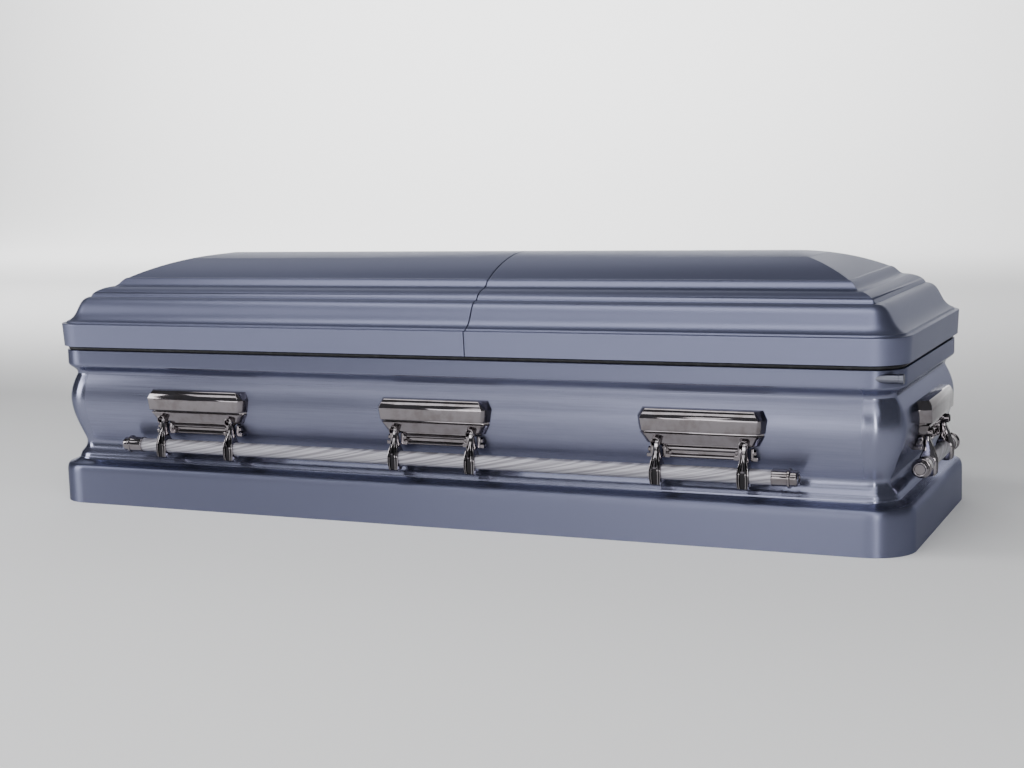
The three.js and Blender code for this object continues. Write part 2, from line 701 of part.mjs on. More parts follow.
// End cap: a cup over the bar end, its mouth at X = 0 and its closed end at X = CAP_LENGTH
function capGeometry() {
  const bore = BAR_RADIUS + GAP;
  const barrel = bore + CAP_WALL;
  const collarEnd = CAP_BARREL_LENGTH + CAP_COLLAR_LENGTH;
  const profile = [
    [0, CAP_BARREL_LENGTH + GAP],
    [bore, CAP_BARREL_LENGTH + GAP],
    [bore, 0],
    [barrel, 0],
    [barrel, CAP_BARREL_LENGTH],
    [barrel + CAP_COLLAR_PROUD, CAP_BARREL_LENGTH],
    [barrel + CAP_COLLAR_PROUD, collarEnd],
    [barrel, collarEnd],
    [barrel, CAP_LENGTH - CAP_EDGE],
    [barrel - CAP_EDGE, CAP_LENGTH],
    [0, CAP_LENGTH],
  ];
  return toGeometry(latheAlongX(profile, ROUND_SIDES));
}

// Memorial tube: closed at its inner end, with a screw cap whose plug sits in its mouth
function tubeGeometry() {
  const end = -TUBE_CAP_LENGTH - TUBE_CAP_GAP;
  const start = end - TUBE_LENGTH;
  const bore = TUBE_RADIUS - TUBE_WALL;
  const profile = [
    [0, start],
    [TUBE_RADIUS, start],
    [TUBE_RADIUS, end],
    [bore, end],
    [bore, start + TUBE_WALL],
    [0, start + TUBE_WALL],
  ];
  return toGeometry(latheAlongX(profile, ROUND_SIDES));
}

function tubeCapGeometry() {
  const plug = TUBE_RADIUS - TUBE_WALL - GAP;
  const plugStart = -TUBE_CAP_LENGTH - TUBE_CAP_GAP - TUBE_PLUG_LENGTH;
  const profile = [
    [0, plugStart],
    [plug, plugStart],
    [plug, -TUBE_CAP_LENGTH],
    [TUBE_RADIUS + TUBE_CAP_PROUD, -TUBE_CAP_LENGTH],
    [TUBE_RADIUS + TUBE_CAP_PROUD, 0],
    [0, 0],
  ];
  return toGeometry(latheAlongX(profile, ROUND_SIDES));
}

// Assembly

const casket = new THREE.Group();

function addMesh(parent, name, geometry, material) {
  const mesh = new THREE.Mesh(geometry, material);
  mesh.name = name;
  parent.add(mesh);
  return mesh;
}

addMesh(casket, 'shell', shellGeometry(), bodySteel);
addMesh(casket, 'gasket', gasketGeometry(), rubber);

for (const [end, side] of [['head', -1], ['foot', 1]]) {
  addMesh(casket, `lid_${end}`, lidGeometry(side), lidSteel);
  const { middle, length } = hingeSpan(side);
  const hinge = new THREE.Group();
  hinge.position.x = middle;
  addMesh(hinge, `hinge_body_leaf_${end}`, bodyLeafGeometry(length), hingeSteel);
  addMesh(hinge, `hinge_lid_leaf_${end}`, lidLeafGeometry(length), hingeSteel);
  addMesh(hinge, `hinge_pin_${end}`, hingePinGeometry(length), hingeSteel);
  casket.add(hinge);
}

const lug = lugGeometry();
const arm = armGeometry();
const cap = capGeometry();

// One side of hardware: its lugs, two arms on each, one bar through the arms and a cap on each end
function addHardware(name, lugPositions, overhang, place) {
  const side = new THREE.Group();
  const farthest = Math.max(...lugPositions.map(Math.abs)) + ARM_SPREAD;
  const halfLength = farthest + overhang;
  lugPositions.forEach((x, i) => {
    addMesh(side, `lug_${name}_${i + 1}`, lug, chrome).position.x = x;
    addMesh(side, `arm_${name}_${2 * i + 1}`, arm, chrome).position.x = x - ARM_SPREAD;
    addMesh(side, `arm_${name}_${2 * i + 2}`, arm, chrome).position.x = x + ARM_SPREAD;
  });
  addMesh(side, `bar_${name}`, barGeometry(halfLength), barSteel).position.set(0, -BAR_OUT, BAR_Z);
  const capX = halfLength - CAP_LENGTH;
  addMesh(side, `bar_cap_${name}_2`, cap, chrome).position.set(capX, -BAR_OUT, BAR_Z);
  const otherCap = addMesh(side, `bar_cap_${name}_1`, cap, chrome);
  otherCap.position.set(-capX, -BAR_OUT, BAR_Z);
  otherCap.rotation.z = Math.PI;
  side.position.set(place.x, place.y, 0);
  side.rotation.z = place.turn;
  casket.add(side);
}

const sideLugs = [-LUG_SPACING, MIDDLE_LUG_OFFSET, LUG_SPACING];
addHardware('front', sideLugs, SIDE_BAR_OVERHANG, { x: 0, y: -HALF_WIDTH, turn: 0 });
addHardware('back', sideLugs, SIDE_BAR_OVERHANG, { x: 0, y: HALF_WIDTH, turn: Math.PI });
addHardware('foot', [0], END_BAR_OVERHANG, { x: HALF_LENGTH, y: 0, turn: Math.PI / 2 });
addHardware('head', [0], END_BAR_OVERHANG, { x: -HALF_LENGTH, y: 0, turn: -Math.PI / 2 });

const tube = new THREE.Group();
const { x: tubeX, y: tubeY, z: tubeZ } = tubeAxis();
tube.position.set(tubeX + TUBE_CAP_LENGTH + TUBE_CAP_GAP, tubeY, tubeZ);
addMesh(tube, 'memorial_tube', tubeGeometry(), lidSteel);
addMesh(tube, 'memorial_tube_cap', tubeCapGeometry(), lidSteel);
casket.add(tube);

export default casket;
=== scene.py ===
"""Looks of a blue-grey steel funeral casket with a two-part crowned lid and chrome swing bars.

Everything is in metres in the frame of the solids: +X towards the foot end, -Y towards the front,
+Z up, with the origin at the centre of the flat bottom.
"""

from __future__ import annotations

import logging
import math
from collections.abc import Sequence
from dataclasses import dataclass, field
from enum import Enum

import bmesh
import bpy
from bmesh.types import BMEdge, BMesh, BMVert
from bpy.types import Material, NodeSocket, Object
from mathutils import Matrix, Vector
from mathutils.geometry import interpolate_bezier

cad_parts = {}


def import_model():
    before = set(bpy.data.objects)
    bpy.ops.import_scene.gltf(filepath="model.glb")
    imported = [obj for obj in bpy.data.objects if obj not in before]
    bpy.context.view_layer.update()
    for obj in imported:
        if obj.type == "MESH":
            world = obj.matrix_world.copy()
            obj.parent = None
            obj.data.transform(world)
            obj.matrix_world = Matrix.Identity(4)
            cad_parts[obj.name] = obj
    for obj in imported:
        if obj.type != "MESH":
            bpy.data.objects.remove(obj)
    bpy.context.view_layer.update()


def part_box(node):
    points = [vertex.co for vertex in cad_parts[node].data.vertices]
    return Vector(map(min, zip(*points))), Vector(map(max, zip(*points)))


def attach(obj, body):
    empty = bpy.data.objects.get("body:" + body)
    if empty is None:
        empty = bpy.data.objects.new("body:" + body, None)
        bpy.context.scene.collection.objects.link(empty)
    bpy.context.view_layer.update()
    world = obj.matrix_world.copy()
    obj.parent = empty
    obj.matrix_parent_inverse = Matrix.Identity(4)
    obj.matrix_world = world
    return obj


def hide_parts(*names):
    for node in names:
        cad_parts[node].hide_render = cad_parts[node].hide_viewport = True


LOG = logging.getLogger("casket")
TINY = 1e-6
QUARTER = math.pi / 2
# Name of the mesh layer that marks where shade is painted into the arms' grooves.
SHADE_PAINT_ATTRIBUTE = "painted_shade_mask"
Pair = tuple[float, float]
Triple = tuple[float, float, float]
Colour = tuple[float, float, float, float]
Profile = Sequence[Pair]
# The end of a cubic stretch, its two handles as shares of the way there, and its steps.
Stretch = tuple[Pair, Pair, Pair, int]


class Side(Enum):
    """The four sides that carry a swing bar: name, turn about Z, lug places along the side."""

    FRONT = ("front", 0.0, (-0.632, 0.004, 0.632))
    BACK = ("back", 2 * QUARTER, (-0.632, 0.004, 0.632))
    FOOT = ("foot", QUARTER, (0.0,))
    HEAD = ("head", -QUARTER, (0.0,))

    @property
    def label(self) -> str:
        """Name of the side, as the solids use it."""
        return self.value[0]

    @property
    def turn(self) -> float:
        """Turn about Z that brings the drawn side round to this one."""
        return self.value[1]

    @property
    def lugs(self) -> tuple[float, ...]:
        """Places of the lugs along the side."""
        return self.value[2]


class LidEnd(Enum):
    """The two halves of the lid: name and the sign of X on their side of the seam."""

    HEAD = ("head", -1)
    FOOT = ("foot", 1)

    @property
    def label(self) -> str:
        """Name of the half, as the solids use it."""
        return self.value[0]

    @property
    def sign(self) -> int:
        """Sign of X away from the seam."""
        return self.value[1]


class Value:
    """A shader socket that Python's operators turn into Math nodes."""

    def __init__(self, graph: Graph, socket: NodeSocket) -> None:
        """Wraps an output socket of a graph."""
        self.graph = graph
        self.socket = socket

    def _math(self, operation: str, *values: Value | float) -> Value:
        """Adds one Math node and returns its result."""
        inputs = dict(enumerate(values))
        return self.graph.node("ShaderNodeMath", {"operation": operation}, inputs)

    def __add__(self, other: Value | float) -> Value:
        """Sum."""
        return self._math("ADD", self, other)

    __radd__ = __add__

    def __mul__(self, other: Value | float) -> Value:
        """Product."""
        return self._math("MULTIPLY", self, other)

    __rmul__ = __mul__

    def __sub__(self, other: Value | float) -> Value:
        """Difference."""
        return self._math("SUBTRACT", self, other)

    def __rsub__(self, other: Value | float) -> Value:
        """Difference, the other way round."""
        return self._math("SUBTRACT", other, self)

    def absolute(self) -> Value:
        """Size without its sign."""
        return self._math("ABSOLUTE", self)

    def step(self, low: float, high: float) -> Value:
        """Smooth rise from 0 at low to 1 at high, or a fall where low is over high.

        Args:
            low: Value where the result is 0.
            high: Value where the result is 1.

        Returns:
            The eased value.
        """
        inputs = {0: self, 1: min(low, high), 2: max(low, high)}
        rise = self.graph.node("ShaderNodeMapRange", {"interpolation_type": "SMOOTHSTEP"}, inputs)
        return rise if low < high else 1 - rise


class Graph:
    """A node material built from Python expressions."""

    def __init__(self, name: str) -> None:
        """Starts a material with a Principled shader.

        Args:
            name: The material's name.
        """
        self.material = bpy.data.materials.new(name)
        self.material.use_nodes = True
        self.nodes = self.material.node_tree.nodes
        self.links = self.material.node_tree.links
        self.shader = self.nodes["Principled BSDF"]

    def feed(self, socket: NodeSocket, value: Value | float | Sequence[float]) -> None:
        """Links or sets an input.

        Args:
            socket: The input socket.
            value: A wrapped socket, a number or a tuple.
        """
        if isinstance(value, Value):
            self.links.new(value.socket, socket)
        else:
            socket.default_value = value

    def node(self, kind: str, settings: dict, inputs: dict, output: int | str = 0) -> Value:
        """Adds a node.

        Args:
            kind: The node's type.
            settings: Its own settings, set first.
            inputs: Values or links by input name or number.
            output: Which output to return.

        Returns:
            The wrapped output.
        """
        node = self.nodes.new(kind)
        for key, value in settings.items():
            setattr(node, key, value)
        for key, value in inputs.items():
            self.feed(node.inputs[key], value)
        return Value(self, node.outputs[output])

    def place(self) -> Value:
        """Object coordinates in metres."""
        return self.node("ShaderNodeTexCoord", {}, {}, "Object")

    def axes(self) -> tuple[Value, Value, Value]:
        """The three object coordinates, apart.

        Returns:
            X, Y and Z.
        """
        split = self.nodes.new("ShaderNodeSeparateXYZ")
        self.links.new(self.place().socket, split.inputs[0])
        return tuple(Value(self, out) for out in split.outputs)

    def noise(self, scale: Triple, detail: float = 3.0, rough: float = 0.5) -> Value:
        """Noise stretched along the object's axes.

        Args:
            scale: Cells for each metre along X, Y and Z.
            detail: Octaves.
            rough: Weight of the finer octaves.

        Returns:
            A value about 0.5.
        """
        place = self.node("ShaderNodeMapping", {}, {0: self.place(), "Scale": scale})
        inputs = {"Vector": place, "Scale": 1.0, "Detail": detail, "Roughness": rough}
        return self.node("ShaderNodeTexNoise", {}, inputs)

    def blend(self, low: Value | Colour, high: Value | Colour, factor: Value | float) -> Value:
        """Mixes two colours, from low where the factor is 0 to high where it is 1."""
        return self.node("ShaderNodeMix", {"data_type": "RGBA"}, {0: factor, 6: low, 7: high}, 2)

    def bump(self, height: Value, depth: float, strength: float = 1.0) -> Value:
        """Turns a height from 0 to 1, a full step of the given depth, into a normal."""
        inputs = {"Height": height, "Distance": depth, "Strength": strength}
        return self.node("ShaderNodeBump", {}, inputs)

    def finish(self, sockets: dict) -> Material:
        """Feeds the shader.

        Args:
            sockets: Values by the shader's input names.

        Returns:
            The material.
        """
        for name, value in sockets.items():
            self.feed(self.shader.inputs[name], value)
        return self.material


@dataclass(frozen=True)
class SatinSteel:
    """Coloured metallic coat over sheet steel, brushed lengthways where a panel is polished."""

    name: str
    tint: Colour = (0.145, 0.154, 0.231, 1.0)
    pale: Colour = (0.194, 0.206, 0.302, 1.0)
    metallic: float = 0.95
    roughness: float = 0.4
    brushed: bool = False
    grain: float = 0.0
    grazing: Colour = (0.68, 0.69, 0.72, 1.0)
    bare: Colour = (0.175, 0.183, 0.262, 1.0)
    bright: Colour = (0.253, 0.265, 0.367, 1.0)
    polished: Pair = (0.096, 0.344)
    polish: float = 0.18
    panel: Pair = (0.15, 0.336)
    panel_end: float = 0.972
    panel_edge: float = 0.006
    panel_side: float = 0.25
    coat: float = 0.08
    coat_roughness: float = 0.18
    relief: float = 0.000006

    def build(self) -> Material:
        """Makes the material.

        Returns:
            The material.
        """
        graph = Graph(self.name)
        cloud = graph.noise((1.6, 2.2, 3.0), 2.0)
        flake = graph.noise((900.0, 900.0, 900.0), 1.0)
        tone = (cloud - 0.5) * 0.5 + (flake - 0.5) * 0.5 + 0.4
        rough = (cloud - 0.5) * 0.1 + (flake - 0.5) * 0.06 + self.roughness
        height = flake * 0.15
        colour = graph.blend(self.tint, self.pale, tone)
        if self.brushed:
            along, across, up = graph.axes()
            low, high = self.polished
            shiny = up.step(low - 0.002, low + 0.004) * up.step(high + 0.003, high - 0.003)
            rough = rough - shiny * self.polish
            low, high = self.panel
            inside = up.step(low, low + 0.01) * up.step(high + 0.01, high)
            inside = inside * along.absolute().step(self.panel_end, self.panel_end - self.panel_edge)
            inside = inside * across.absolute().step(self.panel_side, self.panel_side + 0.02)
            streak = graph.noise((3.0, 400.0, 900.0), 4.0, 0.65)
            scuff = graph.noise((9.0, 60.0, 160.0), 3.0, 0.6)
            grain = (streak - 0.5) * 1.1 + (scuff - 0.5) * 0.7
            tone = tone + inside * grain
            rough = rough + inside * ((streak - 0.5) * 0.22 + 0.1)
            height = height + inside * streak
            colour = graph.blend(colour, graph.blend(self.bare, self.bright, tone), shiny)
        return graph.finish(
            {
                "Base Color": colour,
                "Metallic": self.metallic,
                "Roughness": rough,
                "Normal": graph.bump(height, self.relief),
                "Specular Tint": self.grazing,
                "Coat Weight": self.coat,
                "Coat Roughness": self.coat_roughness,
                "Anisotropic": self.grain,
                "Anisotropic Rotation": 0.25,
            }
        )


@dataclass(frozen=True)
class Chrome:
    """Polished plating with a slightly uneven surface, faint handling marks and painted shade where a mesh
    marks its grooves.
    """

    name: str = "polished_chrome"
    tint: Colour = (0.225, 0.208, 0.22, 1.0)
    worn: Colour = (0.175, 0.157, 0.16, 1.0)
    # Near-black colour painted into the arms' grooves as shade.
    painted_shade_colour: Colour = (0.03, 0.028, 0.031, 1.0)

    def build(self) -> Material:
        """Makes the material.

        Returns:
            The material.
        """
        graph = Graph(self.name)
        smear = graph.noise((40.0, 40.0, 40.0), 3.0, 0.6)
        wave = graph.noise((14.0, 60.0, 90.0), 1.0)
        painted_shade_mask = graph.node("ShaderNodeAttribute", {"attribute_name": SHADE_PAINT_ATTRIBUTE}, {}, "Fac")
        colour = graph.blend(self.tint, self.worn, smear.step(0.4, 0.75))
        return graph.finish(
            {
                # Painted shade: the colour goes near black where a mesh marks its grooves, standing in for
                # their shadow and dark reflection.
                "Base Color": graph.blend(colour, self.painted_shade_colour, painted_shade_mask),
                "Metallic": 1.0,
                "Roughness": smear * 0.1 + 0.03,
                "Normal": graph.bump(wave, 0.0006, 0.35),
            }
        )


@dataclass(frozen=True)
class BandedSteel:
    """Satin tube with faint diagonal bands left by its polishing."""

    name: str = "banded_bar_steel"
    tint: Colour = (0.25, 0.24, 0.27, 1.0)
    pale: Colour = (0.46, 0.45, 0.5, 1.0)
    pitch: float = 0.0055
    slope: float = 0.2

    def build(self) -> Material:
        """Makes the material.

        Returns:
            The material.
        """
        graph = Graph(self.name)
        along, across, up = graph.axes()
        slant = up * (1 / self.pitch) - (along + across) * (self.slope / self.pitch)
        inputs = {"W": slant, "Scale": 1.0, "Detail": 2.0}
        coarse = graph.node("ShaderNodeTexNoise", {"noise_dimensions": "1D"}, inputs)
        fine = graph.noise((30.0, 700.0, 700.0), 2.0)
        band = coarse.step(0.38, 0.62)
        return graph.finish(
            {
                "Base Color": graph.blend(self.tint, self.pale, band),
                "Metallic": 0.6,
                "Roughness": band * 0.08 + fine * 0.06 + 0.36,
            }
        )


@dataclass(frozen=True)
class Rubber:
    """Black sealing rubber with a dull bloom."""

    name: str = "gasket_rubber"
    tint: Colour = (0.008, 0.008, 0.01, 1.0)
    dusty: Colour = (0.03, 0.03, 0.034, 1.0)

    def build(self) -> Material:
        """Makes the material.

        Returns:
            The material.
        """
        graph = Graph(self.name)
        bloom = graph.noise((60.0, 60.0, 60.0), 4.0)
        return graph.finish(
            {
                "Base Color": graph.blend(self.tint, self.dusty, bloom.step(0.4, 0.8)),
                "Roughness": bloom * 0.3 + 0.45,
                "Normal": graph.bump(bloom, 0.0002),
            }
        )


BODY_STEEL = SatinSteel("brushed_body_steel", brushed=True, grain=0.85, grazing=(0.47, 0.48, 0.55, 1.0))
LID_STEEL = SatinSteel(
    "satin_lid_steel",
    tint=(0.172, 0.183, 0.277, 1.0),
    pale=(0.223, 0.237, 0.352, 1.0),
)
TUBE_STEEL = SatinSteel(
    "record_tube_steel",
    tint=(0.13, 0.135, 0.17, 1.0),
    pale=(0.18, 0.185, 0.22, 1.0),
    metallic=1.0,
    roughness=0.28,
)
HINGE_STEEL = SatinSteel(
    "hinge_steel",
    tint=(0.2, 0.21, 0.25, 1.0),
    pale=(0.26, 0.27, 0.31, 1.0),
    metallic=1.0,
    roughness=0.36,
)
ARM_CHROME = Chrome("arm_chrome", tint=(0.34, 0.32, 0.335, 1.0), worn=(0.26, 0.24, 0.245, 1.0))


def linked(name: str, bm: BMesh) -> Object:
    """Makes a mesh into an object of the scene.

    Args:
        name: Name of the object and of its mesh.
        bm: The mesh, which is freed.

    Returns:
        The object.
    """
    mesh = bpy.data.meshes.new(name)
    bm.to_mesh(mesh)
    bm.free()
    thing = bpy.data.objects.new(name, mesh)
    bpy.context.scene.collection.objects.link(thing)
    return thing


@dataclass
class Piece:
    """One finished object: its mesh, its finish and the solids that it stands for."""

    name: str
    body: str
    slot: str
    finish: Material
    replaces: tuple[str, ...]
    sharp: float = math.radians(16)

    def add(self, bm: BMesh) -> None:
        """Turns a mesh into a piece of the casket.

        Args:
            bm: The mesh in the casket's frame, which is freed.
        """
        for face in bm.faces:
            face.smooth = True
        for edge in bm.edges:
            edge.smooth = edge.is_manifold and edge.calc_face_angle(0.0) <= self.sharp
        piece = linked(self.name, bm)
        piece.data.materials.append(self.finish)
        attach(piece, self.body)
        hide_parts(*self.replaces)
        LOG.info("%s: %d faces on %s", self.name, len(piece.data.polygons), self.body)


def trace(points: list[Pair], stretches: Sequence[Stretch]) -> None:
    """Extends a profile with cubic stretches.

    Args:
        points: The profile so far, as (inset, height).
        stretches: End, two handles as shares of the way, and steps of each stretch.
    """
    for end, first, second, steps in stretches:
        (x, y), (far_x, far_y) = points[-1], end
        shares = ((0.0, 0.0), first, second, (1.0, 1.0))
        knots = [Vector((x + (far_x - x) * u, y + (far_y - y) * v)) for u, v in shares]
        points += [(p.x, p.y) for p in interpolate_bezier(*knots, steps + 1)[1:]]


def inwards(points: Profile, wall: float) -> list[Pair]:
    """Profile moved inwards by a wall, with mitred corners.

    Args:
        points: Profile of (inset, height) from the bottom up.
        wall: Distance to move it.

    Returns:
        The moved profile.
    """
    moved = []
    for i, here in enumerate(points):
        normals = []
        for j in (i, i + 1):
            if 0 < j < len(points):
                run = Vector(points[j]) - Vector(points[j - 1])
                normals.append(Vector((run.y, -run.x)).normalized())
        total = normals[0] + normals[-1]
        scale = wall / (1 + normals[0].dot(normals[-1]))
        moved.append(tuple(Vector(here) + total * scale))
    return moved


def sweep(bm: BMesh, rings: Sequence[Sequence[Vector]], closed: bool = True) -> list[list]:
    """Extrudes a row of edges through a list of rings.

    Args:
        bm: The mesh to add to.
        rings: Places of the row at each step, all with one count.
        closed: Whether the row closes on itself.

    Returns:
        The vertices of every ring.
    """
    row = [bm.verts.new(point) for point in rings[0]]
    pairs = zip(row, row[1:] + row[:1]) if closed else zip(row, row[1:])
    edges = [bm.edges.new(pair) for pair in pairs]
    rows = [row]
    for ring in rings[1:]:
        made = bmesh.ops.extrude_edge_only(bm, edges=edges)["geom"]
        fresh = {item for item in made if isinstance(item, BMVert)}
        row = [next(e.other_vert(v) for e in v.link_edges if e.other_vert(v) in fresh) for v in row]
        for vert, point in zip(row, ring):
            vert.co = point
        edges = [item for item in made if isinstance(item, BMEdge) and set(item.verts) <= fresh]
        rows.append(row)
    return rows


def close_up(bm: BMesh, row: Sequence[BMVert]) -> None:
    """Fills a closed row of vertices with one face."""
    edges = [bm.edges.get(pair) for pair in zip(row, [*row[1:], row[0]])]
    bmesh.ops.contextual_create(bm, geom=[e for e in edges if e])


def heal(bm: BMesh) -> None:
    """Merges coincident points and turns every face outwards.

    Args:
        bm: The mesh.
    """
    bmesh.ops.remove_doubles(bm, verts=bm.verts, dist=TINY)
    bmesh.ops.dissolve_degenerate(bm, edges=bm.edges, dist=TINY)
    bmesh.ops.recalc_face_normals(bm, faces=bm.faces)


def soften(bm: BMesh, width: float, over: float = math.radians(25), segments: int = 2) -> None:
    """Bevels every edge sharper than an angle.

    Args:
        bm: The mesh.
        width: Width of the bevel.
        over: Least angle between the faces.
        segments: Facets across the bevel.
    """
    edges = [e for e in bm.edges if e.is_manifold and e.calc_face_angle(0.0) > over]
    shape = {"offset": width, "offset_type": "OFFSET", "segments": segments, "profile": 0.5}
    bmesh.ops.bevel(bm, geom=edges, **shape, affect="EDGES", clamp_overlap=True, material=-1)


def arc(x: float, y: float, radius: float, start: float, turn: float, steps: int) -> list[Pair]:
    """Points round (x, y), from a start angle through a turn."""
    angles = [start + turn * i / steps for i in range(steps + 1)]
    return [(x + radius * math.cos(a), y + radius * math.sin(a)) for a in angles]


def corner(x: float, y: float, radius: float, start: float, steps: int, z: float) -> list[Vector]:
    """Points of a quarter turn round (x, y) at one height."""
    return [Vector((*point, z)) for point in arc(x, y, radius, start, QUARTER, steps)]


def finer(rows: Sequence[Triple], spacing: float) -> list[Vector]:
    """Adds evenly spaced rows between the given ones.

    Args:
        rows: Rows of (out, z, half width) from the bottom up.
        spacing: Largest rise from one row to the next.

    Returns:
        All the rows.
    """
    points = [Vector(rows[0])]
    for low, high in zip(rows, rows[1:]):
        count = max(1, math.ceil((high[1] - low[1]) / spacing))
        points += [Vector(low).lerp(Vector(high), i / count) for i in range(1, count + 1)]
    return points


def prism(bm: BMesh, outline: Profile, left: float, right: float) -> None:
    """Extrudes an outline along X.

    Args:
        bm: The mesh to add to.
        outline: Points of (out, z), where out runs along -Y.
        left: X of one end.
        right: X of the other end.
    """
    rows = sweep(bm, [[Vector((x, -out, z)) for out, z in outline] for x in (left, right)])
    close_up(bm, rows[0])
    close_up(bm, rows[-1])


def cuboid(low: Sequence[float], high: Sequence[float]) -> BMesh:
    """Box between two corners.

    Args:
        low: Lowest corner.
        high: Highest corner.

    Returns:
        The box as a closed mesh.
    """
    size = Vector(high) - Vector(low)
    place = Matrix.Translation((Vector(low) + Vector(high)) / 2) @ Matrix.Diagonal((*size, 1.0))
    box = bmesh.new()
    bmesh.ops.create_cube(box, size=1.0, matrix=place)
    return box


def join(bm: BMesh, part: BMesh, place: Matrix | None = None) -> None:
    """Adds a part to a mesh and frees the part.

    Args:
        bm: The mesh to add to.
        part: The part.
        place: Where it goes.
    """
    heal(part)
    if place is not None:
        part.transform(place)
    mesh = bpy.data.meshes.new("part")
    part.to_mesh(mesh)
    part.free()
    bm.from_mesh(mesh)
    bpy.data.meshes.remove(mesh)


def rod(bm: BMesh, profile: Profile, place: Matrix, sides: int = 48) -> None:
    """Adds a round part, spun about its X axis.

    Args:
        bm: The mesh to add to.
        profile: Points of (radius, x).
        place: Where it goes.
        sides: Steps round the axis.
    """
    part = bmesh.new()
    verts = [part.verts.new((x, 0.0, radius)) for radius, x in profile]
    edges = [part.edges.new(pair) for pair in zip(verts, verts[1:])]
    turn = {"cent": (0.0, 0.0, 0.0), "axis": (1.0, 0.0, 0.0), "angle": 4 * QUARTER}
    bmesh.ops.spin(part, geom=[*verts, *edges], **turn, steps=sides, use_merge=True)
    join(bm, part, place)


def sleeve(bore: float, radius: float, left: float, right: float, edge: float) -> list[Pair]:
    """Section of a tube with chamfered ends, as (radius, x)."""
    outside = [(radius - edge, left), (radius, left + edge), (radius, right - edge), (radius - edge, right)]
    return [(bore, left), *outside, (bore, right), (bore, left)]


def carve(bm: BMesh, cutter: BMesh) -> BMesh:
    """Cuts one closed mesh from another.

    Args:
        bm: The mesh to cut, which is freed.
        cutter: What is taken away, which is freed.

    Returns:
        What is left.
    """
    heal(bm)
    heal(cutter)
    pair = [linked("kept", bm), linked("cutter", cutter)]
    kept, cut = pair
    modifier = kept.modifiers.new("cut", "BOOLEAN")
    modifier.operation = "DIFFERENCE"
    modifier.solver = "EXACT"
    modifier.object = cut
    graph = bpy.context.evaluated_depsgraph_get()
    result = bmesh.new()
    result.from_object(kept, graph)
    for thing in pair:
        mesh = thing.data
        bpy.data.objects.remove(thing)
        bpy.data.meshes.remove(mesh)
    return result


